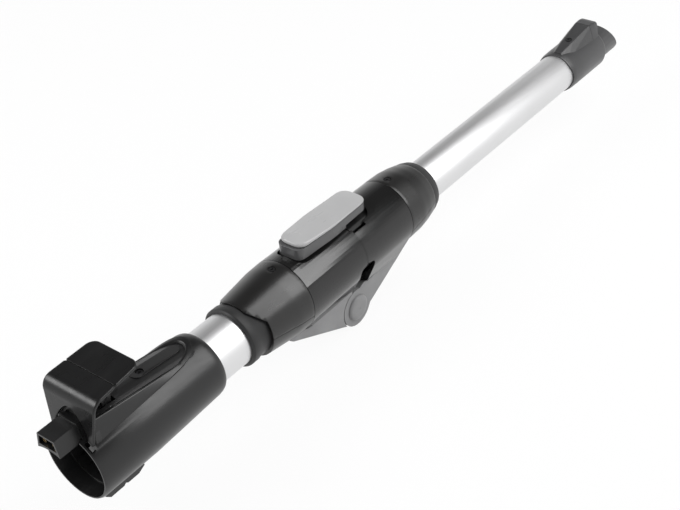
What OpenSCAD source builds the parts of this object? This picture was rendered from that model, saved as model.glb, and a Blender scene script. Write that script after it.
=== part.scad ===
// Bendable vacuum wand: two aluminium tubes joined by a locking knee, with a socket and foot pedal at
// one end and a plug-in spigot at the other. X runs along the wand from the socket's mouth, Z is up
// on the button side, and the origin is the centre of the mouth.

/* [Tubes] */
// Outer diameter of the lower tube
lower_tube_d = 43; // [41:0.5:44]
// Outer diameter of the upper tube
upper_tube_d = 35.5; // [34:0.5:36.5]
// Wall of both tubes
tube_wall = 1; // [0.8:0.1:1.4]
// Length of the upper tube
upper_tube_len = 309; // [240:1:420]

/* [Socket] */
// Length of the socket barrel
socket_len = 120; // [116:1:130]
// Outer diameter of the socket barrel
socket_d = 57; // [56:0.5:59]
// Diameter of the socket's bore
socket_bore_d = 50.4; // [49:0.2:51.5]
// Depth of the socket's bore
socket_depth = 70; // [64:1:74]
// Half width of the saddle at its base
saddle_half = 16.5; // [15.5:0.5:17.5]
// Wall of the saddle
saddle_wall = 2.2; // [1.8:0.1:2.6]
// How far the plug block stands out of the mouth
plug_reach = 16; // [12:0.5:20]
// Width of the plug block's top
plug_w = 16; // [15:0.5:17]
// Depth of the foot pad under the barrel
pad_drop = 3.6; // [2:0.2:4.4]

/* [Pedal] */
// Width of the pedal plate
pedal_w = 45; // [42:0.5:47]
// Length of the pedal plate from the front wall
pedal_len = 45.5; // [43:0.5:52]
// Height of the pedal plate's top above the axis
pedal_top = 61; // [58:0.5:63]
// Thickness of the pedal plate
pedal_t = 2.6; // [2:0.1:3]
// Radius of the pedal's pin
pedal_pin_r = 2; // [1.6:0.1:2.3]

/* [Knee] */
// Outer diameter of the knee's shells
knee_d = 60.6; // [60:0.2:62]
// Wall of the knee's shells
shell_wall = 2.6; // [2:0.1:2.8]
// Length of the front knee shell
knee_front_len = 66; // [64:0.5:70]
// Length of the rear knee shell
knee_rear_len = 60; // [58:0.5:66]
// Drop of the hinge axis below the wand's axis
hinge_drop = 45; // [44:0.5:48]
// Radius of the hinge's cheek discs
hinge_disc_r = 16.5; // [15:0.25:17]
// Width over the hinge's cheeks
hinge_w = 38; // [36:0.5:40]
// Radius of the hinge pin
hinge_pin_r = 4; // [3:0.25:5]
// Largest radius of the bellows hose
hose_r = 19; // [18:0.25:19.2]
// Number of pleats in the bellows hose
pleats = 12; // [8:1:14]

/* [Button] */
// Length of the release button
button_len = 81.5; // [79:0.5:85]
// Width of the release button
button_w = 27; // [25:0.5:28]
// Height of the button's top above the axis
button_top = 40.5; // [39.5:0.25:42]

/* [Connector] */
// Length of the far connector
connector_len = 89; // [85:1:98]
// Outer diameter of the far connector's barrel
connector_d = 39.6; // [39:0.2:41]
// Outer diameter of the spigot
spigot_d = 32.6; // [31.6:0.2:34]
// Length of the spigot
spigot_len = 26.5; // [24:0.5:30]
// Height of the fin's crest above the axis
fin_top = 29.6; // [29:0.2:31]

/* [Hidden] */
$fn = 72;

far = 1000;             // longer than any cut needs
seat = 0.02;            // gap of a seated piece
fit = 0.05;             // radial gap of a running or tube fit
play = 0.3;             // gap between pieces that move past each other

lower_tube_r = lower_tube_d / 2;
upper_tube_r = upper_tube_d / 2;
socket_r = socket_d / 2;
socket_bore_r = socket_bore_d / 2;
shoulder = 3;           // stop for the lower tube behind the bore
tube_start = socket_depth + shoulder;
rim_step = 1;           // how far the mouth's rim is rounded back
mouth_depth = 13;       // depth of the wider part of the bore at the mouth
mouth_bore_r = socket_bore_r + 1.3;
seam_w = 0.45;          // width and depth of the groove where two shells meet
seam_deep = 0.9;
socket_tail_r = lower_tube_r + 4.7; // barrel radius just before its rounded rear end
tail_round = 8;
taper_x = 50;           // place where the barrel starts to narrow

// Places along the wand, each from the one before
collar_x = socket_len + 29.5;
collar_lip = 9;         // length of the collar's raised ring
collar_r = lower_tube_r + 3.1;
collar_len = 27;
bell_x = collar_x + collar_lip + 0.3;
bell_len = 52.2;
knee_x = bell_x + bell_len;
split_x = knee_x + knee_front_len;
rear_x = split_x + knee_rear_len;
rear_collar_len = 37;
end_ring_x = rear_x + rear_collar_len;
end_ring_len = 9;
knee_r = knee_d / 2;
knee_split_r = knee_r - 0.9;
knee_tail_r = knee_r - 1.4;
knee_in_r = knee_r - shell_wall;
split_in_r = knee_split_r - shell_wall;
tail_in_r = knee_tail_r - shell_wall;
bell_nose_r = lower_tube_r + 3.8;
bell_nose_in_r = bell_nose_r - 0.65;
bell_mid_r = (bell_nose_r + knee_r) / 2;
bell_mid_wall = 2.55;

// Hose, cuffs and the tubes' ends at the knee
cuff_out_r = hose_r - 3.1;
cuff_in_r = cuff_out_r - 1.3;
hose_in_r = hose_r - 2.9;
hose_wall = 0.8;
front_flange_x = knee_x + 3.5;
flange_t = 5;
hose_x0 = front_flange_x + flange_t + seat;
rear_flange_x = rear_x - 12;
rear_flange_t = 6;
hose_x1 = rear_flange_x - seat;
cuff_grip = 22;         // length of a cuff inside the hose
upper_tube_x = rear_flange_x + rear_flange_t;
upper_tube_end = upper_tube_x + upper_tube_len;
cuff_sleeve = 14;       // length of a cuff over its tube

// Hinge
hinge_x = split_x - 5;
hinge_z = -hinge_drop;
cheek_in = 11.5;        // inner face of each cheek
knuckle_half = 11;
knuckle_r = 13;
cheek_gap = 0.8;        // gap between a cheek's disc and the front bracket
cap_r = 11;
cap_sink = 1.3;
cap_rise = 2.6;
slot_floor = -30;       // lower end of the relief slot across the knee
slot_front = split_x - 8.5;
slot_rear = split_x + 8.2;
keel_half = hinge_w / 2 + 1.5; // half width of a knee shell's low edge
round_low = 19;         // height below the axis at which a low edge is lost in the round shell
front_keel = knee_r - 5.7;
rear_keel = knee_r - 3.7;
// Place, radius and low edge of each station along the two knee shells
front_stations = [[knee_x, knee_r, round_low], [knee_x + 6, knee_r, front_keel],
    [split_x, knee_split_r, front_keel]];
rear_stations = [[hinge_x - 3, knee_split_r, rear_keel], [split_x, knee_split_r, rear_keel],
    [rear_x - 8, knee_tail_r + 0.1, rear_keel], [rear_x, knee_tail_r, round_low]];

// Button and its well
button_x = knee_x + 10;
button_half = button_w / 2;
button_pivot_x = split_x - 9;
button_pivot_z = 31;
button_pin_r = 1.6;
skirt_bottom = 28.6;
skirt_step = 2.2;       // how far the skirt is cut away behind the pin
cap_t = 2.9;
cap_back = 3;           // how far the cap stands behind the lever's front
lever_top = button_top - cap_t;
skirt_wall = 1.8;
well_gap = 2.2;
well_step = [15, 2.4];   // length and depth of the wider part of the well behind the split
well_step_z = 21;
tray_z0 = 22.4;
tray_t = 1.6;
tray_top = tray_z0 + tray_t;
hook_x = button_x + button_len - 9;
hook_t = 3.2;
hook_half = 6;
hook_bottom = tray_top + 0.4;
catch_top = hook_bottom + 1.2;

// Saddle, pedal and plug
saddle_x0 = 10;
saddle_x1 = 113;
saddle_bend_x = 104;    // place where the saddle's rear end starts to fall
saddle_foot_z = 14;
// Half widths of the saddle's foot and rim, then heights of its rim and crown, at its three slices
saddle_front = [saddle_half, saddle_half - 6.2, 35.6, 37.8];
saddle_bend = [saddle_half - 1.5, saddle_half - 4.5, 24.3, 27.2];
saddle_end = [saddle_half - 5.5, saddle_half - 8, 24, 26.1];
hood_top = 46.4;
hood_half = 18.4;
hood_side_z = 31;       // height at which the hood starts to narrow
hood_crown = 8;
hood_slope = [4, 2.5];
saddle_fall = (saddle_front[3] - saddle_bend[3]) / (saddle_bend_x - saddle_x0);
spine_x0 = 58;
spine_x1 = 103;
spine_half = 5.4;
spine_t = 1.6;
spine_sunk = 1.2;
spine_slope = atan(saddle_fall);
pedal_x = 6.5;
pedal_foot_x = 3;       // the front wall leans, so its feet stand ahead of its bend
pedal_flare = 2;        // how much wider each side is at the bend than at the rear
pedal_bend = 9;
pedal_drop = 2.4;       // how far the plate falls towards the front
pedal_pivot = [30, 31.5];
pedal_boss_r = 3.6;
pedal_rib_t = 3;
pedal_rib_y = 4.5;
pedal_pin_half = saddle_front[1];
pedal_spring_x = 44;
pedal_spring_r = 4;
pedal_rear_x = pedal_x + pedal_len;
leg_foot_y = 19.2;
arch_top = 46;
arch_rise = 15;
arch_half = 14.6;
lug_angle = 40;
lug_x = pedal_foot_x + 0.3;
lug_t = 2.2;
plug_top = 37.5;
plug_top_half = plug_w / 2;
plug_base_half = plug_top_half + 3.3;
plug_base_z = 20;
plug_tall_x = saddle_x0 - 0.5;
plug_back = 24;
plug_neck_top = 32;
plug_neck_half = 7.4;
plug_wall = 1.4;
plug_mouth_z = 28.4;    // floor of the plug block's mouth
plug_mouth_depth = 6;
plug_ridge_x = 3;       // raised ridge round the block's rear
contact_r = 1.6;
contact_y = 4.6;
contact_z = 31;
pad_x0 = 7;
pad_x1 = 43;
pad_half = 14;
pad_notch_x = 25;

// Wiring lead, off the centre line
lead_y = 6.2;
lead_w = 4;
lead_t = 2;
lead_tube_z = lower_tube_r - 4.7;
lead_knee_z = 20;
lead_far_z = 12.4;
lead_join = knee_x + 22;
lead_rejoin = rear_flange_x - 4;
lead_barrel_z = 27;
lead_front_pts = [[plug_back + 0.1, lead_barrel_z], [60, lead_barrel_z], [socket_depth + 2, 26.3],
    [tube_start + 20, lead_tube_z], [front_flange_x - 2, lead_tube_z],
    [front_flange_x + flange_t, lead_knee_z], [lead_join, lead_knee_z]];

// Far connector
connector_r = connector_d / 2;
connector_x = upper_tube_end - 35.5;
connector_end = connector_x + connector_len;
scoop_r = 29.3;         // hollow that each flank of the lip is cut back by
scoop_depth = 2;
spigot_r = spigot_d / 2;
spigot_x = connector_end - spigot_len;
spigot_in_r = spigot_r - 2.2;
spigot_cut = 13.5;      // how far the upper side of the spigot's end is cut back
fin_x0 = connector_x + 3.5;
fin_mid_x = connector_x + 20;
fin_x1 = connector_x + 48.5;
fin_cap_x1 = connector_x + 60.5;
fin_lean = 4;           // how far the end face's crest stands beyond its foot
fin_half = 8.9;         // half width of the crest at the end face
fin_foot_half = 13.2;
fin_foot_z = 12;
fin_wall = 2;
fin_contact_z = 24;
lead_fin_z = fin_contact_z - contact_r - lead_t / 2;
lead_rear_pts = [[lead_rejoin, lead_knee_z], [rear_flange_x, lead_knee_z],
    [rear_flange_x + rear_flange_t - 0.5, lead_far_z], [upper_tube_end - 10, lead_far_z],
    [fin_x1 - 8, lead_fin_z], [fin_x1 - 1, lead_fin_z]];

// Screws
screw_head_r = 2.6;
screw_hole_r = 3.2;
screw_shank_r = 1.3;
spine_screw_x = 66;
bell_screw_x = knee_x - 9;
rear_screw_x = rear_x + 7;
fin_screw_x = connector_x + 23.2;
spine_seat_z = saddle_z(spine_screw_x) - 2.2;
bell_seat_z = knee_in_r + 0.5;
rear_seat_z = tail_in_r + 0.5;
fin_seat_z = connector_r + 3.2;

// Surface of revolution about the wand's axis, from [radius, x] points
module turned(points) {
    rotate([0, 90, 0]) rotate_extrude() polygon(points);
}

module rod_x(x0, x1, r) {
    translate([x0, 0, 0]) rotate([0, 90, 0]) cylinder(h = x1 - x0, r = r);
}

module ring_x(x0, x1, r_in, r_out) {
    turned([[r_in, x0], [r_out, x0], [r_out, x1], [r_in, x1]]);
}

module rod_y(place, r, y0, y1) {
    translate([place.x, y1, place.y]) rotate([90, 0, 0]) cylinder(h = y1 - y0, r = r);
}

// Outline in the plane of X and Z, carried from -half to half along Y
module side(points, half) {
    rotate([90, 0, 0]) translate([0, 0, -half]) linear_extrude(2 * half) polygon(points);
}

module box(low, high) {
    translate(low) cube(high - low);
}

module both_sides() {
    children();
    mirror([0, 1, 0]) children();
}

function arc(centre, r, a0, a1, n = 8) =
    [for (i = [0:n]) centre + r * [cos(a0 + (a1 - a0) * i / n), sin(a0 + (a1 - a0) * i / n)]];

function strip_outline(points, t) =
    concat([for (p = points) [p.x, p.y + t / 2]],
        [for (i = [len(points) - 1:-1:0]) [points[i].x, points[i].y - t / 2]]);

module lead(points, grow = 0) {
    translate([0, lead_y, 0]) side(strip_outline(points, lead_t + 2 * grow), lead_w / 2 + grow);
}

// Height of the saddle's crown at a place along it
function saddle_z(x) = saddle_front[3] - saddle_fall * (x - saddle_x0);

module socket_outer(grow = 0) {
    turned(concat([[0, 0], [socket_r - rim_step + grow, 0], [socket_r + grow, 2 * rim_step],
        [socket_r + grow, taper_x], [socket_tail_r + 1 + grow, tube_start + 13],
        [socket_tail_r + grow, socket_len - tail_round]],
        [for (a = [15:15:90]) [socket_tail_r - 2.4 * (1 - cos(a)) + grow,
            socket_len - tail_round * (1 - sin(a))]], [[0, socket_len]]));
}

module socket_barrel() {
    color([0.17, 0.17, 0.17]) difference() {
        socket_outer();
        rod_x(-1, mouth_depth, mouth_bore_r);
        rod_x(0, socket_depth, socket_bore_r);
        rod_x(socket_depth - 1, socket_len + 1, lower_tube_r - tube_wall);
        rod_x(tube_start, socket_len + 1, lower_tube_r + fit / 2);
        plug_form(seat);
        both_sides() lug_slot();
        translate([spine_screw_x, 0, socket_bore_r + 1]) cylinder(h = 20, r = screw_shank_r);
        lead(lead_front_pts, play);
    }
}

module lug_slot() {
    rotate([lug_angle, 0, 0])
        box([lug_x - 2, -2.6, socket_bore_r - 3], [lug_x + lug_t + play, 5.4, far]);
}

// Slice of the saddle across the wand, from its sizes as in saddle_front
module saddle_slice(x, sizes, inset) {
    crown = sizes[3] - sizes[2];
    translate([x, 0, 0]) rotate([90, 0, 90]) linear_extrude(0.01)
        polygon(concat([[-sizes[0] + inset, saddle_foot_z]],
            [for (t = [-1:0.25:1]) [(sizes[1] - inset) * t, sizes[2] - inset + crown * (1 - t * t)]],
            [[sizes[0] - inset, saddle_foot_z]]));
}

module saddle_form() {
    hull() {
        saddle_slice(saddle_x0, saddle_front, 0);
        saddle_slice(saddle_bend_x, saddle_bend, 0);
        saddle_slice(saddle_x1, saddle_end, 0);
    }
}

// Hollow under the saddle's front, up to the solid part over the screw
module saddle_hollow() {
    intersection() {
        hull() {
            saddle_slice(saddle_x0 + saddle_wall, saddle_front, saddle_wall);
            saddle_slice(saddle_bend_x, saddle_bend, saddle_wall);
        }
        box([0, -far, 0], [spine_x0 - 2, far, far]);
    }
}

// Closed front of the saddle, close behind the pedal's wall, which fills the view through its arch
module saddle_hood() {
    rear = saddle_x0 + 2.4;
    intersection() {
        side([[pedal_foot_x + 4, 20], [pedal_x + 4.1, hood_top], [rear, hood_top], [rear, 20]], hood_half);
        rotate([90, 0, 90]) linear_extrude(rear) for (s = [-1, 1]) scale([s, 1]) polygon([[0, 0],
            [hood_half, 0], [hood_half, hood_side_z], [hood_crown + hood_slope.x, hood_top - hood_slope.y],
            [hood_crown, hood_top], [0, hood_top]]);
    }
}

module saddle_cover() {
    rib_gap = pedal_rib_y + pedal_rib_t + 0.6;
    neck_gap = plug_neck_half + play;
    color([0.2, 0.2, 0.2]) difference() {
        union() {
            saddle_form();
            saddle_hood();
        }
        saddle_hollow();
        socket_outer(seat);
        plug_form(seat);
        // Front opening for the plug block and slot for the pedal's ribs
        box([0, -neck_gap, 0], [saddle_x0 + 4, neck_gap, plug_neck_top + play]);
        box([pedal_pivot.x - 7, -rib_gap, pedal_pivot.y - 1.5], [pedal_pivot.x + 7, rib_gap, far]);
        rod_y(pedal_pivot, pedal_pin_r, -pedal_pin_half, pedal_pin_half);
        spine_place(-spine_sunk) linear_extrude(5) spine_plan(0.15);
        translate([spine_screw_x, 0, 20]) cylinder(h = 30, r = screw_shank_r + fit);
        translate([spine_screw_x, 0, spine_seat_z]) cylinder(h = 10, r = screw_hole_r);
        lead(lead_front_pts, play);
    }
}

module spine_plan(grow) {
    $fn = 32;
    hull() {
        translate([spine_half, 0]) circle(r = spine_half + grow);
        translate([spine_x1 - spine_x0 - spine_half, 0]) circle(r = spine_half - 0.8 + grow);
    }
}

module spine_place(lift) {
    translate([spine_x0, 0, saddle_z(spine_x0) + lift]) rotate([0, spine_slope, 0]) children();
}

module spine_cover() {
    color([0.19, 0.19, 0.19]) difference() {
        spine_place(-spine_sunk + seat) linear_extrude(spine_t) spine_plan(0);
        socket_outer(seat);
        translate([spine_screw_x, 0, 0]) cylinder(h = far, r = screw_hole_r);
    }
}

// Bar of the plug block's section from x0 to x1, from a height upwards
module plug_bar(x0, x1, low, grow) {
    lean = (plug_base_half - plug_top_half) / (plug_top - plug_base_z);
    low_half = plug_base_half - lean * (low - plug_base_z) + grow;
    translate([x0, 0, 0]) rotate([90, 0, 90]) linear_extrude(x1 - x0)
        polygon([[-low_half, low], [-plug_top_half - grow, plug_top + grow],
            [plug_top_half + grow, plug_top + grow], [low_half, low]]);
}

// Block that flares towards the barrel, with a ridge round its rear, and its neck under the saddle
module plug_form(grow = 0) {
    plug_bar(-plug_reach - grow, plug_tall_x + grow, plug_base_z, grow);
    plug_bar(plug_ridge_x - grow, plug_ridge_x + 2 + grow, plug_base_z, 0.8 + grow);
    box([0, -plug_neck_half - grow, plug_base_z],
        [plug_back + grow, plug_neck_half + grow, plug_neck_top + grow]);
}

module plug_block() {
    color([0.13, 0.13, 0.13]) difference() {
        plug_form();
        rod_x(-far, mouth_depth, mouth_bore_r);
        rod_x(0, far, socket_bore_r);
        both_sides() translate([0, contact_y, contact_z]) rod_x(-plug_reach - 1, 8, contact_r + seat);
        // Mouth round the contacts
        plug_bar(-plug_reach - 1, -plug_reach + plug_mouth_depth, plug_mouth_z, -plug_wall);
    }
}

module plug_contacts() {
    color([0.8, 0.65, 0.3]) both_sides() translate([0, contact_y, contact_z]) difference() {
        rod_x(-plug_reach + 2, 7, contact_r);
        rod_x(-plug_reach, 2, contact_r - 0.6);
    }
}

module foot_pad() {
    low = -socket_r - pad_drop;
    color([0.22, 0.22, 0.22]) difference() {
        side([[pad_x0, 0], [pad_x0, -socket_r], [pad_x0 + 4, low], [pad_notch_x - 1.9, low],
            [pad_notch_x, low + 1.4], [pad_notch_x + 1.9, low], [pad_x1 - 6, low],
            [pad_x1, -socket_r - 0.4], [pad_x1, 0]], pad_half);
        socket_outer(seat);
        box([-far, -far, -10], [far, far, far]);
    }
}

// Side outline of the pedal: front wall, bend and plate
function pedal_outline(inset) =
    let (c = [pedal_x + pedal_bend, pedal_top - pedal_drop - pedal_bend], r = pedal_bend - inset)
    concat([[pedal_foot_x + inset, 20], [pedal_x + inset, c.y]], arc(c, r, 180, 90),
        [[pedal_rear_x, pedal_top - inset]]);

module pedal_sheet() {
    outer = pedal_outline(0);
    inner = pedal_outline(pedal_t);
    side(concat(outer, [for (i = [len(inner) - 1:-1:0]) inner[i]]), pedal_w / 2 + pedal_flare + 1);
}

// Front view of the pedal, wide at the plate and narrower at its feet
module pedal_front_view() {
    half = pedal_w / 2 + pedal_flare;
    rotate([90, 0, 90]) linear_extrude(far) polygon([[-leg_foot_y, 20], [-half + 2.1, 40],
        [-half + 0.4, 52], [-half, 58], [-half, 70], [half, 70], [half, 58], [half - 0.4, 52],
        [half - 2.1, 40], [leg_foot_y, 20]]);
}

module pedal_plan() {
    $fn = 32;
    corner = 7;
    front_half = pedal_w / 2 + pedal_flare;
    linear_extrude(80) hull() {
        translate([0, -front_half]) square([pedal_x + 2, 2 * front_half]);
        for (s = [-1, 1]) translate([pedal_rear_x - corner, s * (pedal_w / 2 - corner)]) circle(r = corner);
    }
}

module release_pedal() {
    color([0.16, 0.16, 0.16]) difference() {
        union() {
            intersection() {
                pedal_sheet();
                pedal_front_view();
                pedal_plan();
            }
            both_sides() pedal_rib();
        }
        pedal_arch();
        socket_outer(0.5);
        rod_y(pedal_pivot, pedal_pin_r + fit, -far, far);
        // Fold groove across the plate
        box([27.6, -far, pedal_top - 1.5], [28.4, far, far]);
        both_sides() box([26.8, (pedal_w + pedal_flare) / 2 - 1.2, 50], [29.2, far, far]);
    }
    color([0.16, 0.16, 0.16]) both_sides() latch_lug();
}

module pedal_arch() {
    rotate([90, 0, 90]) linear_extrude(20) polygon(concat([[-arch_half, 0]],
        [for (t = [-1:0.1:1]) [arch_half * t, arch_top - arch_rise * pow(abs(t), 1.8)]],
        [[arch_half, 0]]));
}

module pedal_rib() {
    p = pedal_pivot;
    r = pedal_boss_r;
    intersection() {
        union() {
            side([p - [r, 0], p + [r, 0], [p.x + r + 3, pedal_top - 2], [p.x - r - 3, pedal_top - 2]], far);
            rod_y(p, r, -far, far);
        }
        box([0, pedal_rib_y, 0], [far, pedal_rib_y + pedal_rib_t, far]);
    }
}

// Lug at the foot of each leg that reaches through the wall into the mouth's wider part
module latch_lug() {
    rotate([lug_angle, 0, 0])
        box([lug_x, -2, socket_bore_r + 0.1], [lug_x + lug_t, 2, socket_r + 2.4]);
}

module pedal_pin() {
    color([0.7, 0.7, 0.72]) rod_y(pedal_pivot, pedal_pin_r, -pedal_pin_half + seat, pedal_pin_half - seat);
}

module coil(x, z0, z1, r, turns, wire) {
    translate([x, 0, z0]) for (i = [0:turns - 1]) translate([0, 0, (z1 - z0 - wire) * i / (turns - 1)])
        rotate_extrude() translate([r - wire, 0]) square(wire);
    translate([x + r - wire, -wire / 2, z0]) cube([wire, wire, z1 - z0]);
}

module pedal_spring() {
    foot_z = saddle_z(pedal_spring_x - pedal_spring_r) + seat;
    color([0.6, 0.6, 0.62]) coil(pedal_spring_x, foot_z, pedal_spring_top(), pedal_spring_r, 8, 1);
}

function pedal_spring_top() = pedal_top - pedal_t - pedal_drop * (pedal_rear_x - pedal_spring_x) /
    (pedal_rear_x - pedal_x - pedal_bend) - 0.3;

module lower_tube() {
    color([0.85, 0.86, 0.87]) difference() {
        ring_x(tube_start + seat, front_flange_x - seat, lower_tube_r - tube_wall, lower_tube_r);
        lead(lead_front_pts, play);
    }
}

module front_collar() {
    color([0.08, 0.08, 0.08]) turned([[lower_tube_r + fit, collar_x], [collar_r - 1.4, collar_x],
        [collar_r, collar_x + 1.6], [collar_r, collar_x + collar_lip - 1],
        [collar_r - 0.6, collar_x + collar_lip], [collar_r - 0.6, collar_x + collar_len],
        [lower_tube_r + fit, collar_x + collar_len]]);
}

module bell_shell() {
    turned([[bell_nose_in_r - 0.6, bell_x], [bell_nose_r, bell_x], [bell_mid_r, bell_x + 21],
        [knee_r - 0.5, bell_x + 38],
        [knee_r, knee_x - seam_w], [knee_r - seam_deep, knee_x - seam_w], [knee_r - seam_deep, knee_x],
        [knee_in_r, knee_x], [knee_in_r - 0.6, bell_x + 38],
        [bell_mid_r - bell_mid_wall, bell_x + 21],
        [bell_nose_in_r - 0.6, bell_x + 17]]);
}

// Crescent that leaves the collar bare on both flanks
module flank_cut() {
    side([[bell_x - 2, 24], [bell_x - 1, 24], [bell_x + 9.7, 13.5], [bell_x + 10, -far],
        [bell_x - 2, -far]], far);
}

// Region below the seam between the bell's halves
module below_seam(gap) {
    side([[bell_x - 2, -1 - gap], [bell_x + 10, -1.4 - gap], [knee_x + 1, -7.2 - gap], [knee_x + 1, -far],
        [bell_x - 2, -far]], far);
}

module bell_upper() {
    color([0.1, 0.1, 0.1]) difference() {
        bell_shell();
        flank_cut();
        below_seam(-0.15);
        translate([bell_screw_x, 0, bell_seat_z]) cylinder(h = 20, r = screw_hole_r);
        translate([bell_screw_x, 0, 20]) cylinder(h = 20, r = screw_shank_r + fit);
    }
}

module bell_lower() {
    color([0.12, 0.12, 0.12]) difference() {
        intersection() {
            bell_shell();
            below_seam(0.15);
        }
        flank_cut();
    }
}

// Round shell whose flanks run straight down to a low edge on each side
module keeled(stations, grow = 0) {
    for (i = [0:len(stations) - 2]) hull() for (s = [stations[i], stations[i + 1]]) {
        rod_x(s[0], s[0] + 0.01, s[1] + grow);
        box([s[0], -keel_half - grow, -s[2] - grow], [s[0] + 0.01, keel_half + grow, 0]);
    }
}

module knee_front_shell() {
    color([0.1, 0.1, 0.1]) difference() {
        keeled(front_stations);
        turned([[0, knee_x - 1], [knee_in_r, knee_x - 1], [knee_in_r, knee_x + 6], [split_in_r, split_x + 1],
            [0, split_x + 1]]);
        button_well();
        behind_slot(-far);
        bottom_window(knee_x + 12, split_x + 1);
    }
}

// Opening in a shell's underside over the hollow bracket
module bottom_window(x0, x1) {
    box([x0, -11, -far], [x1, 11, 0]);
}

// Region behind the front edge of the relief slot, down to a height
module behind_slot(low) {
    foot = hinge_x - 7;
    side(concat([[split_x - 0.2, 1], [far, 1], [far, low]], low < slot_floor ? [[foot, low]] : [],
        [[foot, slot_floor], [slot_front, -9]], arc([slot_front + 4.5, -7], 4.5, 185, 110, 5),
        [[split_x - 0.4, -1.6]]), far);
}

// Region ahead of the split and of the relief slot's rear edge
module ahead_of_slot() {
    slot_r = 4.6;
    side(concat([[0, far], [split_x + play, far], [split_x + play, -1], [split_x + 2, -1.3]],
        arc([slot_rear + 1.2 - slot_r, -6.6], slot_r, 100, 0, 6), [[slot_rear, -20], [slot_rear - 0.4, -27],
        [hinge_x + 6, -31], [hinge_x - 0.7, -31.5], [hinge_x - 0.7, -far], [0, -far]]), far);
}

// Room for a knee shell of one radius, flat-flanked down to its low edge
module keel_cut(x0, x1, r, low) {
    k = keel_half + seat;
    t = atan2(k, low) - acos(r / norm([k, low]));
    translate([x0, 0, 0]) rotate([90, 0, 90]) linear_extrude(x1 - x0)
        polygon(concat([[-k, 0], [-k, -low]], [for (i = [-6:6]) [r * sin(t * i / 6), -r * cos(t * i / 6)]],
            [[k, -low], [k, 0]]));
}

module button_plan(grow, back = 0) {
    $fn = 32;
    nose = 6;
    tail = 7;
    hull() for (s = [-1, 1]) {
        translate([button_x + nose + back, s * (button_half - 1.9 - nose)]) circle(r = nose + grow);
        translate([button_x + 37, s * (button_half - 2)]) circle(r = 2 + grow);
        translate([button_x + button_len - tail, s * (button_half - 1.2 - tail)]) circle(r = tail + grow);
    }
}

module button_well() {
    translate([0, 0, 12]) linear_extrude(40) button_plan(well_gap);
}

module latch_tray() {
    color([0.07, 0.07, 0.07]) difference() {
        union() {
            intersection() {
                turned([[0, knee_x + 2], [knee_in_r - seat, knee_x + 2], [knee_in_r - seat, knee_x + 6],
                    [split_in_r - seat, split_x - 0.4], [0, split_x - 0.4]]);
                box([knee_x + 3, -far, tray_z0], [split_x - 0.4, far, tray_top]);
            }
            both_sides() box([button_pivot_x - 3.4, 7.4, tray_top - 0.1],
                [button_pivot_x + 3.4, 9.8, button_pivot_z + 3]);
        }
        rod_y([button_pivot_x, button_pivot_z], button_pin_r, -far, far);
    }
}

module button_lever() {
    color([0.45, 0.45, 0.46]) difference() {
        union() {
            difference() {
                translate([0, 0, skirt_bottom]) linear_extrude(lever_top - skirt_bottom) button_plan(0);
                linear_extrude(lever_top - 2) button_plan(-skirt_wall);
                box([button_pivot_x + 6, -far, 0], [far, far, skirt_bottom + skirt_step]);
            }
            box([hook_x, -hook_half, hook_bottom], [hook_x + hook_t, hook_half, lever_top - 1]);
        }
        rod_y([button_pivot_x, button_pivot_z], button_pin_r + fit, -far, far);
    }
}

module button_cap() {
    color([0.66, 0.66, 0.67]) union() {
        translate([0, 0, lever_top + seat]) linear_extrude(cap_t - 1) button_plan(-0.1, cap_back);
        hull() {
            translate([0, 0, lever_top + cap_t - 1.1]) linear_extrude(0.1) button_plan(-0.1, cap_back);
            translate([0, 0, button_top - 0.1]) linear_extrude(0.1) button_plan(-1.3, cap_back);
        }
    }
}

module button_pin() {
    color([0.7, 0.7, 0.72])
        rod_y([button_pivot_x, button_pivot_z], button_pin_r - seat, -button_half + 0.5, button_half - 0.5);
}

module button_spring() {
    color([0.6, 0.6, 0.62]) coil(button_x + 16, tray_top + 0.05, lever_top - 2.3, 4, 5, 0.9);
}

module screw_boss(x, z0, r) {
    half = 4;
    intersection() {
        box([x - half, -half, z0], [x + half, half, far]);
        rod_x(x - half, x + half, r);
    }
}

module front_cuff() {
    color([0.1, 0.1, 0.1]) difference() {
        union() {
            ring_x(front_flange_x, front_flange_x + flange_t, cuff_in_r, knee_in_r - seat);
            ring_x(front_flange_x, front_flange_x + flange_t + cuff_grip, cuff_in_r, cuff_out_r);
            ring_x(front_flange_x - cuff_sleeve - 4, front_flange_x + 0.1, lower_tube_r + fit,
                lower_tube_r + 3);
            screw_boss(bell_screw_x, lower_tube_r + 1, knee_in_r - 0.9);
        }
        translate([bell_screw_x, 0, lower_tube_r + 0.5]) cylinder(h = 20, r = screw_shank_r);
        lead(lead_front_pts, play);
        // Room for the button's tray
        box([knee_x + 2, -far, tray_z0 - seat], [far, far, tray_top + 8]);
    }
}

function pleat_points(r_low, r_high, x0, x1) =
    let (pitch = (x1 - x0) / pleats)
    [for (i = [0:pleats - 1]) each [[r_low, x0 + pitch * i], [r_low, x0 + pitch * (i + 0.22)],
        [r_high, x0 + pitch * (i + 0.45)], [r_high, x0 + pitch * (i + 0.72)],
        [r_low, x0 + pitch * (i + 0.97)]]];

module bellows_hose() {
    outer = pleat_points(hose_in_r + hose_wall, hose_r, hose_x0, hose_x1);
    color([0.12, 0.12, 0.12]) turned(concat([[hose_in_r, hose_x0]], outer,
        [[hose_in_r + hose_wall, hose_x1], [hose_in_r, hose_x1]]));
}

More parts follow.
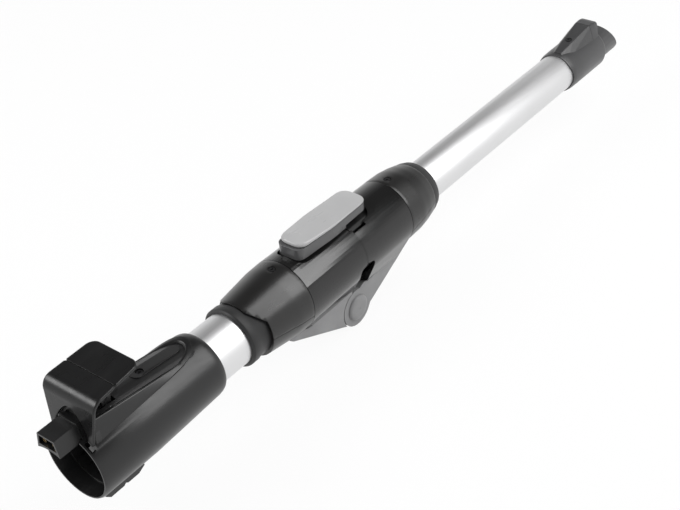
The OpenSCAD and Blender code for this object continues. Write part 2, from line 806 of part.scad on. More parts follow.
module front_bracket() {
    tip_x = knee_x - 18;
    color([0.5, 0.5, 0.51]) difference() {
        union() {
            side([[tip_x, -16], [tip_x, -24], [tip_x + 3, -26.5], [hinge_x - 11, hinge_z - 11.6],
                [hinge_x, hinge_z - 4], [hinge_x + 2, -28], [hinge_x - 8, -16]], hinge_w / 2);
            rod_y([hinge_x, hinge_z], knuckle_r, -knuckle_half, knuckle_half);
            // Ledge along the shell's low edge
            side([[knee_x + 1, -front_keel - 0.2], [hinge_x - 5.5, -front_keel - 0.2],
                [hinge_x - 5.5, -front_keel - 3]], keel_half - 0.2);
        }
        // Bell and shell above
        turned([[0, 100], [bell_nose_r, 100], [knee_r + seat, knee_x - 4], [knee_r + seat, knee_x + 0.5],
            [0, knee_x + 0.5]]);
        keel_cut(knee_x, split_x + 10, knee_r + 0.1, front_keel + seat);
        both_sides() rod_y([hinge_x, hinge_z], hinge_disc_r + cheek_gap, knuckle_half, far);
        // Hollow inside
        side([[tip_x + 20, -15], [tip_x + 20, -29], [hinge_x - 17, hinge_z - 6], [hinge_x - 17, -15]],
            hinge_w / 2 - 2.6);
        rod_y([hinge_x, hinge_z], hinge_pin_r, -far, far);
        behind_slot(slot_floor);
    }
}

module hinge_pin() {
    half = hinge_w / 2 - cap_sink - 0.3;
    color([0.7, 0.7, 0.72]) rod_y([hinge_x, hinge_z], hinge_pin_r - seat, -half, half);
}

module hinge_washers() {
    color([0.85, 0.83, 0.75]) both_sides() difference() {
        rod_y([hinge_x, hinge_z], 9, knuckle_half + seat, cheek_in - fit);
        rod_y([hinge_x, hinge_z], hinge_pin_r + seat, 0, far);
    }
}

module rear_bracket() {
    tip_x = rear_x - 2;
    color([0.52, 0.52, 0.53]) difference() {
        union() {
            side([[hinge_x + 17, hinge_z - 5], [tip_x - 3, -28], [tip_x, -25], [tip_x, -16],
                [hinge_x + 12, -16], [hinge_x + 14, hinge_z + 8]], hinge_w / 2);
            both_sides() rear_cheek();
        }
        keeled(rear_stations, seat);
        side([[hinge_x + 20, -15], [hinge_x + 20, hinge_z + 4], [tip_x - 20, -30], [tip_x - 20, -15]],
            hinge_w / 2 - 2.6);
        rod_y([hinge_x, hinge_z], knuckle_r + 0.6, -cheek_in, cheek_in);
        rod_y([hinge_x, hinge_z], hinge_pin_r + fit, -far, far);
        both_sides() rod_y([hinge_x, hinge_z], cap_r + fit, hinge_w / 2 - cap_sink, far);
    }
}

module rear_cheek() {
    intersection() {
        union() {
            rod_y([hinge_x, hinge_z], hinge_disc_r, cheek_in, hinge_w / 2);
            side([[hinge_x + 4, hinge_z + 15.6], [hinge_x + 12, -26], [hinge_x + 20, -22],
                [hinge_x + 20, hinge_z], [hinge_x + 13, hinge_z - 10]], hinge_w / 2);
        }
        box([0, cheek_in, -far], [far, far, far]);
    }
}

module hinge_caps() {
    color([0.56, 0.56, 0.57]) both_sides() translate([hinge_x, hinge_w / 2 - cap_sink + seat, hinge_z])
        rotate([-90, 0, 0]) rotate_extrude() polygon([[0, 0], [cap_r, 0], [cap_r, cap_sink],
            [cap_r - 0.4, cap_sink + 0.5 * cap_rise], [cap_r - 1.6, cap_sink + 0.85 * cap_rise],
            [cap_r - 4, cap_sink + cap_rise], [0, cap_sink + cap_rise + 0.3]]);
}

module knee_rear_shell() {
    shell_x0 = hinge_x - 3;
    color([0.1, 0.1, 0.1]) difference() {
        keeled(rear_stations);
        turned([[0, shell_x0 - 1], [split_in_r, shell_x0 - 1], [split_in_r, split_x], [tail_in_r, rear_x + 1],
            [0, rear_x + 1]]);
        ahead_of_slot();
        button_well();
        both_sides() box([split_x - 1, 0, well_step_z],
            [split_x + well_step.x, button_half + well_gap + well_step.y, far]);
        bottom_window(shell_x0 - 1, rear_x - 14);
    }
}

module latch_catch() {
    color([0.07, 0.07, 0.07]) union() {
        intersection() {
            turned([[0, split_x + play], [split_in_r - seat, split_x + play], [tail_in_r - seat, rear_x],
                [0, rear_x]]);
            box([split_x + play + 0.2, -far, tray_z0], [button_x + button_len + well_gap + 2, far, tray_top]);
        }
        box([hook_x - play - 3, -hook_half + 0.5, tray_top - 0.1],
            [hook_x - play, hook_half - 0.5, catch_top]);
    }
}

module rear_cuff() {
    color([0.1, 0.1, 0.1]) difference() {
        union() {
            ring_x(rear_flange_x - cuff_grip, upper_tube_x, cuff_in_r, cuff_out_r);
            ring_x(rear_flange_x, upper_tube_x, cuff_in_r, tail_in_r - seat);
            ring_x(upper_tube_x - 0.1, rear_screw_x + 6, upper_tube_r + fit, upper_tube_r + 3);
            screw_boss(rear_screw_x, upper_tube_r + 1, tail_in_r - 0.7);
        }
        translate([rear_screw_x, 0, upper_tube_r + 0.5]) cylinder(h = 20, r = screw_shank_r);
        lead(lead_rear_pts, play);
    }
}

module rear_collar_form() {
    turned([[tail_in_r, rear_x], [knee_tail_r - seam_deep, rear_x],
        [knee_tail_r - seam_deep, rear_x + seam_w], [knee_tail_r, rear_x + seam_w],
        [knee_tail_r - 0.5, rear_x + 18],
        [knee_tail_r - 1.9, rear_x + 28], [knee_tail_r - 3.9, end_ring_x], [knee_tail_r - 6.3, end_ring_x],
        [knee_tail_r - 4.4, rear_x + 28], [tail_in_r - 0.5, rear_x + 18]]);
}

module below_collar_seam(gap) {
    side([[rear_x - 1, -7.4 - gap], [end_ring_x + 1, 0.4 - gap], [end_ring_x + 1, -far],
        [rear_x - 1, -far]], far);
}

module rear_collar_upper() {
    color([0.1, 0.1, 0.1]) difference() {
        translate([seat, 0, 0]) rear_collar_form();
        below_collar_seam(-0.15);
        translate([rear_screw_x, 0, rear_seat_z]) cylinder(h = 20, r = screw_hole_r);
        translate([rear_screw_x, 0, 20]) cylinder(h = 20, r = screw_shank_r + fit);
    }
}

module rear_collar_lower() {
    color([0.12, 0.12, 0.12]) intersection() {
        translate([seat, 0, 0]) rear_collar_form();
        below_collar_seam(0.15);
    }
}

module rear_end_ring() {
    out_r = knee_tail_r - 4;
    color([0.12, 0.12, 0.12]) turned([[upper_tube_r + fit, end_ring_x - 4], [out_r - 2.6, end_ring_x - 4],
        [out_r - 2.6, end_ring_x + 0.1], [out_r, end_ring_x + 0.1], [out_r - 0.8, end_ring_x + 4],
        [out_r - 2.4, end_ring_x + end_ring_len - 0.6], [out_r - 3.2, end_ring_x + end_ring_len],
        [upper_tube_r + fit, end_ring_x + end_ring_len]]);
}

module upper_tube() {
    color([0.85, 0.86, 0.87]) difference() {
        ring_x(upper_tube_x + seat, upper_tube_end, upper_tube_r - tube_wall, upper_tube_r);
        lead(lead_rear_pts, play);
    }
}

module connector_outer(grow = 0) {
    turned([[0, connector_x], [upper_tube_r + 1 + grow, connector_x],
        [connector_r - 0.2 + grow, connector_x + 5], [connector_r + grow, connector_x + 12],
        [connector_r + grow, spigot_x - 4], [connector_r - 0.6 + grow, spigot_x - 2.2],
        [spigot_r + grow, spigot_x], [spigot_r + grow, connector_end],
        [0, connector_end]]);
}

module far_connector() {
    color([0.25, 0.25, 0.26]) difference() {
        union() {
            connector_outer();
            // Boss for the fin's screw
            translate([fin_screw_x, 0, connector_r - 1]) cylinder(h = 3, r = 3);
        }
        rod_x(connector_x - 1, connector_end + 1, spigot_in_r);
        rod_x(connector_x - 1, upper_tube_end + seat, upper_tube_r + fit / 2);
        rod_y([connector_x + scoop_depth - scoop_r, 0], scoop_r, -far, far);
        side([[connector_end - spigot_cut, spigot_r + 1], [connector_end + 1, -7], [connector_end + 1, far],
            [connector_end - spigot_cut, far]], far);
        translate([fin_screw_x, 0, upper_tube_r + 0.6]) cylinder(h = 20, r = screw_shank_r);
        lead(lead_rear_pts, play);
    }
}

// Slice of the fin across the wand, from half widths of foot and crest and heights of both
module fin_section(x, foot, crest, low, high) {
    rounding = min(2.4, high - low);
    translate([x, 0, 0]) rotate([90, 0, 90]) linear_extrude(0.01)
        polygon(concat([[-foot, low]], arc([rounding - crest, high - rounding], rounding, 170, 90, 4),
            arc([crest - rounding, high - rounding], rounding, 90, 10, 4), [[foot, low]]));
}

module fin_form(inset, x1) {
    intersection() {
        hull() {
            fin_section(fin_x0 + inset, 11 - inset, 5 - inset, 12, 19.9 - inset);
            fin_section(fin_mid_x, fin_foot_half - 1 - inset, 6.4 - inset, fin_foot_z, 24 - inset);
            fin_section(fin_x1, fin_foot_half - inset, fin_half - 0.6 - inset, fin_foot_z, fin_top - inset);
            fin_section(fin_cap_x1 - fin_lean - inset, fin_foot_half - inset, fin_half - inset, fin_foot_z,
                fin_top - 0.3 - inset);
            fin_section(fin_cap_x1 - inset, fin_half + 0.2 - inset, fin_half - 0.2 - inset, fin_top - 4,
                fin_top - 1 - inset);
        }
        box([0, -far, 0], [x1, far, far]);
    }
}

module fin_cover() {
    color([0.27, 0.27, 0.28]) difference() {
        fin_form(0, fin_x1 - 0.15);
        fin_form(fin_wall, fin_x1 + 1);
        connector_outer(seat);
        translate([fin_screw_x, 0, connector_r + 0.4]) cylinder(h = 20, r = screw_shank_r + fit);
        translate([fin_screw_x, 0, fin_seat_z]) cylinder(h = 20, r = screw_hole_r);
        translate([fin_screw_x, 0, 0]) cylinder(h = connector_r + 2 + seat, r = 3 + fit);
        lead(lead_rear_pts, play);
    }
}

module fin_end_cap() {
    color([0.3, 0.3, 0.31]) difference() {
        fin_form(0, far);
        box([0, -far, -far], [fin_x1 + 0.15, far, far]);
        connector_outer(seat);
        both_sides() translate([0, contact_y, fin_contact_z]) rod_x(fin_x1, fin_cap_x1 + 1, contact_r + seat);
    }
}

module fin_contacts() {
    color([0.8, 0.65, 0.3]) both_sides() translate([0, contact_y, fin_contact_z])
        rod_x(fin_x1 - 2, fin_cap_x1 - 2, contact_r);
}

module lead_front() {
    color([0.2, 0.2, 0.2]) lead(lead_front_pts);
}

module lead_knee() {
    color([0.2, 0.2, 0.2]) lead([[lead_join + seat, lead_knee_z], [lead_rejoin - seat, lead_knee_z]]);
}

module lead_rear() {
    color([0.2, 0.2, 0.2]) lead(lead_rear_pts);
}

module screw(x, head_z, shank_z) {
    translate([x, 0, 0]) difference() {
        union() {
            translate([0, 0, head_z]) cylinder(h = 1.6, r = screw_head_r);
            translate([0, 0, shank_z]) cylinder(h = head_z - shank_z + 0.1, r = screw_shank_r - seat);
        }
        // Cross recess
        translate([-1.6, -0.3, head_z + 0.8]) cube([3.2, 0.6, 2]);
        translate([-0.3, -1.6, head_z + 0.8]) cube([0.6, 3.2, 2]);
    }
}

module screws_front() {
    color([0.15, 0.15, 0.15]) {
        screw(spine_screw_x, spine_seat_z + seat, socket_bore_r + 1.2);
        screw(bell_screw_x, bell_seat_z + seat, lower_tube_r + 0.8);
    }
}

module screws_rear() {
    color([0.15, 0.15, 0.15]) {
        screw(rear_screw_x, rear_seat_z + seat, upper_tube_r + 0.8);
        screw(fin_screw_x, fin_seat_z + seat, upper_tube_r + 0.8);
    }
}

socket_barrel();
saddle_cover();
spine_cover();
plug_block();
plug_contacts();
foot_pad();
release_pedal();
pedal_pin();
pedal_spring();
lower_tube();
front_collar();
bell_upper();
bell_lower();
knee_front_shell();
latch_tray();
button_lever();
button_cap();
button_pin();
button_spring();
front_cuff();
bellows_hose();
front_bracket();
hinge_pin();
hinge_washers();
rear_bracket();
hinge_caps();
knee_rear_shell();
latch_catch();
rear_cuff();
rear_collar_upper();
rear_collar_lower();
rear_end_ring();
upper_tube();
far_connector();
fin_cover();
fin_end_cap();
fin_contacts();
lead_front();
lead_knee();
lead_rear();
screws_front();
screws_rear();
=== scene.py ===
"""Bendable vacuum wand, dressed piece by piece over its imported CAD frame.

Sizes are in millimetres and are turned into metres as each mesh is made. X runs along the wand from
the socket's mouth, Z points to the side of the release button.
"""

import logging
import math
from collections.abc import Sequence
from dataclasses import dataclass
from enum import Enum

import bmesh
import bpy
import numpy as np
from mathutils import Matrix, Vector


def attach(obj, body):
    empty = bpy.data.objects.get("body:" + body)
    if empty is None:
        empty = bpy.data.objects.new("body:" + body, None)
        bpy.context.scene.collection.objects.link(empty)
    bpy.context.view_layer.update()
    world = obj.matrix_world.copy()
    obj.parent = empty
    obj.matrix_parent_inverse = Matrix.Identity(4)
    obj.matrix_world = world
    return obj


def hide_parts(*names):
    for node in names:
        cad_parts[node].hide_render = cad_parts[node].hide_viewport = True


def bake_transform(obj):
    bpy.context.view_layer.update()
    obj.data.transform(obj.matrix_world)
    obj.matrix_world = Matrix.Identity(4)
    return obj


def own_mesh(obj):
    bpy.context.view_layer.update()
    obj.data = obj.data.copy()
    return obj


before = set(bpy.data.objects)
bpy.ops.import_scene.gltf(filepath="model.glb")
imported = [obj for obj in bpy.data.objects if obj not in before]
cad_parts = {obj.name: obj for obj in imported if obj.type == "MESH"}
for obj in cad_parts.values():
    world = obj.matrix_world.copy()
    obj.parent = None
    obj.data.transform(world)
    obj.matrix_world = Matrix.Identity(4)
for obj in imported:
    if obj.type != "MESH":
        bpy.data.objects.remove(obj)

LOG = logging.getLogger("wand")
MM = 0.001
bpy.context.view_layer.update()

Array = np.ndarray
Wrap = tuple[bool, bool]


# ---------------------------------------------------------------- surfaces


def near_both(low: Array, high: Array, edge: float, inner: int) -> Array:
    """Rows from one curve to another, close together near both of them.

    Row k of the first rows stands edge * (1 - cos a) from the low curve, with a from 0 to 90 degrees,
    the last rows mirror this at the high curve, and the inner rows are even.

    Args:
        low: Place of the first curve, one value per column.
        high: Place of the second curve.
        edge: Radius of the rounded edge that the close rows serve.
        inner: Number of rows between the two groups.

    Returns:
        Array of rows by columns.
    """
    low, high = np.atleast_1d(low).astype(float), np.atleast_1d(high).astype(float)
    close = edge * (1 - np.cos(np.linspace(0, np.pi / 2, 5)))[:, None]
    share = np.linspace(0, 1, inner + 2)[1:-1, None]
    return np.concatenate([low + close, low + edge + (high - low - 2 * edge) * share,
                           high - close[::-1]])


def along(points: Array, count: int, closed: bool = False) -> Array:
    """Resamples a polyline at even steps of its arc length.

    Args:
        points: Points of the polyline, k by 2 or 3.
        count: Number of points wanted.
        closed: Whether the last point joins the first one.

    Returns:
        Array of count points.
    """
    line = np.vstack([points, points[:1]]) if closed else points
    run = np.concatenate([[0], np.cumsum(np.linalg.norm(np.diff(line, axis=0), axis=1))])
    at = np.linspace(0, run[-1], count + closed)[:count]
    return np.stack([np.interp(at, run, line[:, k]) for k in range(line.shape[1])], 1)


def softened(points: Array, passes: int, axis: int = 0, closed: bool = False) -> Array:
    """Rounds the corners of rows of points: each pass takes (before + 2 * point + after) / 4."""
    out = np.moveaxis(points.astype(float), axis, 0).copy()
    for _ in range(passes):
        if closed:
            out = (np.roll(out, 1, 0) + 2 * out + np.roll(out, -1, 0)) / 4
        else:
            out[1:-1] = (out[:-2] + 2 * out[1:-1] + out[2:]) / 4
    return np.moveaxis(out, 0, axis)


def hull_outline(circles: Sequence[tuple[float, float, float]], count: int) -> Array:
    """Outline round a group of circles.

    For each direction n the outline's point is c + r * n of the circle with the largest c . n + r.

    Args:
        circles: Centre x, centre y and radius of each circle.
        count: Number of points, evenly spaced along the outline.

    Returns:
        Array of count points, counter-clockwise.
    """
    c = np.array(circles, float)
    a = np.linspace(0, 2 * np.pi, 1440, endpoint=False)
    n = np.stack([np.cos(a), np.sin(a)], 1)
    best = np.argmax(n @ c[:, :2].T + c[:, 2], axis=1)
    return along(c[best, :2] + c[best, 2:] * n, count, closed=True)


def turned(profile: Array, steps: int = 128) -> Array:
    """Surface of revolution about the wand's axis: (x, r) becomes (x, r sin a, r cos a)."""
    a = np.linspace(0, 2 * np.pi, steps, endpoint=False)
    x, r = profile[:, :1], profile[:, 1:2]
    return np.stack([x + 0 * a, r * np.sin(a), r * np.cos(a)], 2)


def rounded(corners: Sequence[tuple[float, float, float]], steps: int = 6) -> Array:
    """Closed outline with a fillet at each corner.

    Args:
        corners: Two coordinates and the fillet's radius of each corner, in order.
        steps: Number of steps round each fillet.

    Returns:
        Array of points round the outline.
    """
    c = np.array(corners, float)
    p, r = c[:, :2], c[:, 2]
    back, ahead = np.roll(p, 1, 0) - p, np.roll(p, -1, 0) - p
    lb, la = np.linalg.norm(back, axis=1), np.linalg.norm(ahead, axis=1)
    back, ahead = back / lb[:, None], ahead / la[:, None]
    half = np.arccos(np.clip((back * ahead).sum(1), -1, 1)) / 2
    cut = np.minimum(r / np.tan(half), 0.48 * np.minimum(lb, la))
    t = np.linspace(0, 1, steps + 1)[None, :, None]
    a, b = (p + back * cut[:, None])[:, None], (p + ahead * cut[:, None])[:, None]
    curve = (1 - t) ** 2 * a + 2 * t * (1 - t) * p[:, None] + t ** 2 * b
    return curve.reshape(-1, 2)


def swept(path: Array, side: Array, section: Array) -> Array:
    """Section carried along a path.

    Point = path + u * side + v * (tangent x side), where (u, v) is the section's point.

    Args:
        path: Points of the path, n by 3.
        side: Direction across the path at each point, n by 3 or one direction.
        section: Closed section, m by 2.

    Returns:
        Grid of n by m points.
    """
    tangent = np.gradient(path, axis=0)
    tangent /= np.linalg.norm(tangent, axis=1, keepdims=True)
    side = np.broadcast_to(side, path.shape)
    side = side - (side * tangent).sum(1, keepdims=True) * tangent
    side = side / np.linalg.norm(side, axis=1, keepdims=True)
    up = np.cross(tangent, side)
    return path[:, None] + section[None, :, :1] * side[:, None] + section[None, :, 1:] * up[:, None]


def circle(radius: float, count: int = 12) -> Array:
    """Section of a round wire."""
    a = np.linspace(0, 2 * np.pi, count, endpoint=False)
    return radius * np.stack([np.cos(a), np.sin(a)], 1)


class Skin:
    """Grids of points that are joined into one closed mesh."""

    def __init__(self) -> None:
        """Starts without points."""
        self.points: list[Array] = []
        self.faces: list[Array] = []
        self.count = 0

    def grid(self, points: Array, wrap: Wrap = (False, False), keep: Array | None = None) -> "Skin":
        """Adds a grid of points and the four-sided faces between them.

        Args:
            points: Rows by columns by 3.
            wrap: Whether the last row joins the first, and the last column the first.
            keep: Which faces to keep, or None for all.

        Returns:
            The skin itself.
        """
        rows, cols = points.shape[:2]
        i = np.arange(rows if wrap[0] else rows - 1)[:, None]
        j = np.arange(cols if wrap[1] else cols - 1)[None]
        i1, j1 = (i + 1) % rows, (j + 1) % cols
        quads = np.stack([i * cols + j, i1 * cols + j, i1 * cols + j1, i * cols + j1], -1)
        quads = quads.reshape(-1, 4) if keep is None else quads[keep]
        return self.quads(points.reshape(-1, 3), quads)

    def quads(self, points: Array, quads: Array) -> "Skin":
        """Adds points and faces that index them."""
        self.points.append(points.astype(float))
        self.faces.append(quads + self.count)
        self.count += len(points)
        return self

    def cap(self, ring: Array) -> "Skin":
        """Closes a ring of points with a fan to its middle, as a grid of two rows."""
        middle = np.broadcast_to(ring.mean(0), ring.shape)
        return self.grid(np.stack([ring, middle]), wrap=(False, True))

    def mesh(self, name: str, sharp: float = 38.0) -> bpy.types.Mesh:
        """Joins the grids, merges their doubles and points the faces outwards.

        Args:
            name: Name of the mesh.
            sharp: Angle in degrees above which an edge is shaded as a crease.

        Returns:
            The mesh in metres.
        """
        co = np.concatenate(self.points) * MM
        faces = np.concatenate(self.faces)
        mesh = bpy.data.meshes.new(name)
        mesh.vertices.add(len(co))
        mesh.vertices.foreach_set("co", co.astype(np.float32).ravel())
        mesh.loops.add(4 * len(faces))
        mesh.loops.foreach_set("vertex_index", faces.astype(np.int32).ravel())
        mesh.polygons.add(len(faces))
        mesh.polygons.foreach_set("loop_start", 4 * np.arange(len(faces), dtype=np.int32))
        mesh.update(calc_edges=True)
        bm = bmesh.new()
        bm.from_mesh(mesh)
        bmesh.ops.remove_doubles(bm, verts=bm.verts, dist=0.002 * MM)
        bmesh.ops.dissolve_degenerate(bm, edges=bm.edges, dist=0.001 * MM)
        bmesh.ops.recalc_face_normals(bm, faces=bm.faces)
        bm.to_mesh(mesh)
        bm.free()
        mesh.polygons.foreach_set("use_smooth", np.ones(len(mesh.polygons), bool))
        mesh.set_sharp_from_angle(angle=math.radians(sharp))
        mesh.update()
        return mesh


@dataclass
class Slab:
    """Sheet of even thickness with rounded edges, over a grid of which some faces are left out.

    A point of a side lies at middle +- normal * half, where
    half = t / 2 - e + sqrt(e^2 - max(e - d, 0)^2), t is the thickness, e the edge's radius and d the
    distance to the nearest free edge.
    """

    middle: Array
    normal: Array
    thickness: float
    edge: float
    keep: Array | None = None
    wrap: bool = False

    def free_edges(self) -> Array:
        """Pairs of indices of the grid's points along the free edges, each pair in a face's turn."""
        rows, cols = self.middle.shape[:2]
        count = cols if self.wrap else cols - 1
        kept = np.ones((rows - 1, count), bool) if self.keep is None else self.keep
        i, j = np.nonzero(kept)
        j1 = (j + 1) % cols
        corners = np.stack([i * cols + j, (i + 1) * cols + j, (i + 1) * cols + j1, i * cols + j1], 1)
        pairs = np.stack([corners, np.roll(corners, -1, 1)], 2).reshape(-1, 2)
        key = np.sort(pairs, 1) @ np.array([rows * cols, 1])
        _, first, times = np.unique(key, return_index=True, return_counts=True)
        return pairs[first[times == 1]]

    def add_to(self, skin: Skin) -> Skin:
        """Adds both sides and the rims between them to a skin."""
        pairs = self.free_edges()
        flat = self.middle.reshape(-1, 3)
        a, b = flat[pairs[:, 0]], flat[pairs[:, 1]]
        span = b - a
        length = np.maximum((span ** 2).sum(1), 1e-12)
        away = np.full(len(flat), np.inf)
        for low in range(0, len(pairs), 64):
            s, d, w = a[low:low + 64], span[low:low + 64], length[low:low + 64]
            t = np.clip(((flat[:, None] - s) * d).sum(2) / w, 0, 1)
            gap = np.linalg.norm(flat[:, None] - s - t[..., None] * d, axis=2)
            away = np.minimum(away, gap.min(1))
        e = self.edge
        half = self.thickness / 2 - e + np.sqrt(np.maximum(e ** 2 - np.maximum(e - away, 0) ** 2, 0))
        lift = self.normal.reshape(-1, 3) * half[:, None]
        shape = self.middle.shape
        keep = None if self.keep is None else self.keep
        for side in (flat + lift, flat - lift):
            skin.grid(side.reshape(shape), wrap=(False, self.wrap), keep=keep)
        count = len(flat)
        rims = np.stack([pairs[:, 0], pairs[:, 1], pairs[:, 1] + count, pairs[:, 0] + count], 1)
        return skin.quads(np.concatenate([flat + lift, flat - lift]), rims)


def numeric_normals(points: Array) -> Array:
    """Unit normals of a grid from the cross product of its two numeric tangents."""
    n = np.cross(np.gradient(points, axis=0), np.gradient(points, axis=1))
    return n / np.maximum(np.linalg.norm(n, axis=2, keepdims=True), 1e-12)


# ---------------------------------------------------------------- finishes


class Nodes:
    """Small helper that fills a material's node tree."""

    def __init__(self, name: str) -> None:
        """Starts a material with a Principled shader and Object coordinates.

        Args:
            name: Name of the material.
        """
        self.material = bpy.data.materials.new(name)
        self.material.use_nodes = True
        self.tree = self.material.node_tree
        self.shader = self.tree.nodes["Principled BSDF"]
        self.where = self.tree.nodes.new("ShaderNodeTexCoord").outputs["Object"]

    def add(self, kind: str, links: dict[str, object] | None = None, **values: object) -> bpy.types.Node:
        """Adds a node.

        Args:
            kind: Type of the node without its ShaderNode prefix.
            links: Value or output for each named input.
            **values: Properties of the node.

        Returns:
            The node.
        """
        node = self.tree.nodes.new("ShaderNode" + kind)
        for key, value in values.items():
            setattr(node, key, value)
        for key, value in (links or {}).items():
            self.link(value, node.inputs[key])
        return node

    def link(self, value: object, socket: bpy.types.NodeSocket) -> None:
        """Links an output to a socket, or sets the socket's value."""
        if isinstance(value, bpy.types.NodeSocket):
            self.tree.links.new(value, socket)
        else:
            socket.default_value = value

    def noise(self, scale: float, detail: float = 3.0, stretch: tuple[float, float, float] = (1, 1, 1),
              rough: float = 0.5) -> bpy.types.NodeSocket:
        """Noise over Object coordinates.

        Args:
            scale: Features per metre.
            detail: Octaves of the noise.
            stretch: Factor along each axis.
            rough: Weight of the finer octaves.

        Returns:
            The factor output.
        """
        where = self.add("Mapping", {"Vector": self.where, "Scale": stretch}).outputs["Vector"]
        made = self.add("TexNoise", {"Vector": where, "Scale": scale, "Detail": detail,
                                     "Roughness": rough})
        return made.outputs["Fac"]

    def ramp(self, fac: bpy.types.NodeSocket, stops: Sequence[tuple[float, Sequence[float]]]
             ) -> bpy.types.NodeSocket:
        """Colour ramp.

        Args:
            fac: Input factor.
            stops: Position and colour of each stop.

        Returns:
            The colour output.
        """
        node = self.add("ValToRGB", {"Fac": fac})
        items = node.color_ramp.elements
        while len(items) < len(stops):
            items.new(0.5)
        for item, (place, colour) in zip(items, stops):
            item.position = place
            item.color = (*colour, 1)
        return node.outputs["Color"]

    def span(self, fac: bpy.types.NodeSocket, low: float, high: float) -> bpy.types.NodeSocket:
        """Maps a noise's middle range to low .. high."""
        return self.add("MapRange", {"Value": fac, "From Min": 0.3, "From Max": 0.7,
                                     "To Min": low, "To Max": high}).outputs["Result"]

    def bump(self, height: bpy.types.NodeSocket, distance: float, strength: float = 1.0,
             after: bpy.types.NodeSocket | None = None) -> bpy.types.NodeSocket:
        """Bump node; distance is the height of a full step in metres."""
        links: dict[str, object] = {"Height": height, "Distance": distance, "Strength": strength}
        if after is not None:
            links["Normal"] = after
        return self.add("Bump", links).outputs["Normal"]


@dataclass(frozen=True)
class MouldedPlastic:
    """Moulded plastic with a fine spark-eroded grain, faint flow marks and handling rubs."""

    name: str
    colour: tuple[float, float, float]
    roughness: float
    grain: float = 0.25
    grain_height: float = 0.012
    mottle: float = 0.12
    gloss: float = 0.5
    rubs: float = 0.05
    coat: float = 0.0
    swell: float = 0.5

    def material(self) -> bpy.types.Material:
        """Builds the material: colour and roughness vary with two noises, the grain is bump."""
        n = Nodes(self.name)
        cloud = n.noise(38, 4)
        low = [c * (1 - self.mottle) for c in self.colour]
        high = [min(1.0, c * (1 + self.mottle)) for c in self.colour]
        n.link(n.ramp(cloud, [(0.3, low), (0.7, high)]), n.shader.inputs["Base Color"])
        rub = n.noise(120, 5, (0.25, 1, 1), 0.62)
        n.link(n.span(rub, self.roughness - self.rubs, self.roughness + self.rubs),
               n.shader.inputs["Roughness"])
        grain = n.noise(1000 / self.grain, 2)
        swell = n.bump(n.noise(26, 1), 0.12 * MM, self.swell)
        n.link(n.bump(grain, self.grain_height * MM, 1.0, swell), n.shader.inputs["Normal"])
        n.shader.inputs["Specular IOR Level"].default_value = self.gloss
        n.shader.inputs["Coat Weight"].default_value = self.coat
        n.shader.inputs["Coat Roughness"].default_value = 0.06
        return n.material


@dataclass(frozen=True)
class DrawnMetal:
    """Metal with fine lines along the wand, as on a drawn tube, wire or turned pin."""

    name: str
    colour: tuple[float, float, float]
    roughness: float
    lines: tuple[float, float, float] = (0.02, 1, 1)
    line_scale: float = 1800
    line_height: float = 0.004
    stain: float = 0.03

    def material(self) -> bpy.types.Material:
        """Builds the material: stretched noise gives the lines, a wide noise the faint stain."""
        n = Nodes(self.name)
        wide = n.noise(22, 3)
        low = [c * (1 - self.stain) for c in self.colour]
        n.link(n.ramp(wide, [(0.35, low), (0.65, self.colour)]), n.shader.inputs["Base Color"])
        lines = n.noise(self.line_scale, 2, self.lines)
        n.link(n.span(lines, self.roughness - 0.05, self.roughness + 0.05), n.shader.inputs["Roughness"])
        n.link(n.bump(lines, self.line_height * MM), n.shader.inputs["Normal"])
        n.shader.inputs["Metallic"].default_value = 1.0
        return n.material


@dataclass(frozen=True)
class SoftRubber:
    """Dull rubber with a powdery bloom."""

    name: str
    colour: tuple[float, float, float] = (0.018, 0.018, 0.018)
    roughness: float = 0.62

    def material(self) -> bpy.types.Material:
        """Builds the material: bloom lightens the colour in patches, fine pores are bump."""
        n = Nodes(self.name)
        bloom = n.noise(90, 4)
        pale = [c * 1.9 for c in self.colour]
        n.link(n.ramp(bloom, [(0.42, self.colour), (0.75, pale)]), n.shader.inputs["Base Color"])
        n.link(n.span(bloom, self.roughness - 0.05, self.roughness + 0.08), n.shader.inputs["Roughness"])
        n.link(n.bump(n.noise(2600, 2), 0.02 * MM), n.shader.inputs["Normal"])
        n.shader.inputs["Specular IOR Level"].default_value = 0.3
        return n.material


class Finish(Enum):
    """Finishes of the wand, one for each material slot of the record."""

    SOCKET = "socket_black"
    PEDAL = "pedal_black"
    COLLAR = "collar_black"
    SHELL = "shell_black"
    GRIP = "grip_black"
    INNER = "inner_black"
    CONNECTOR = "connector_grey"
    BRACKET = "bracket_grey"
    CAP = "cap_grey"
    LEVER = "lever_grey"
    TUBE = "tube_aluminium"
    STEEL = "steel"
    BRASS = "contact_brass"
    WASHER = "washer_white"
    HOSE = "hose_rubber"
    LEAD = "lead_rubber"
    SCREW = "screw_black"


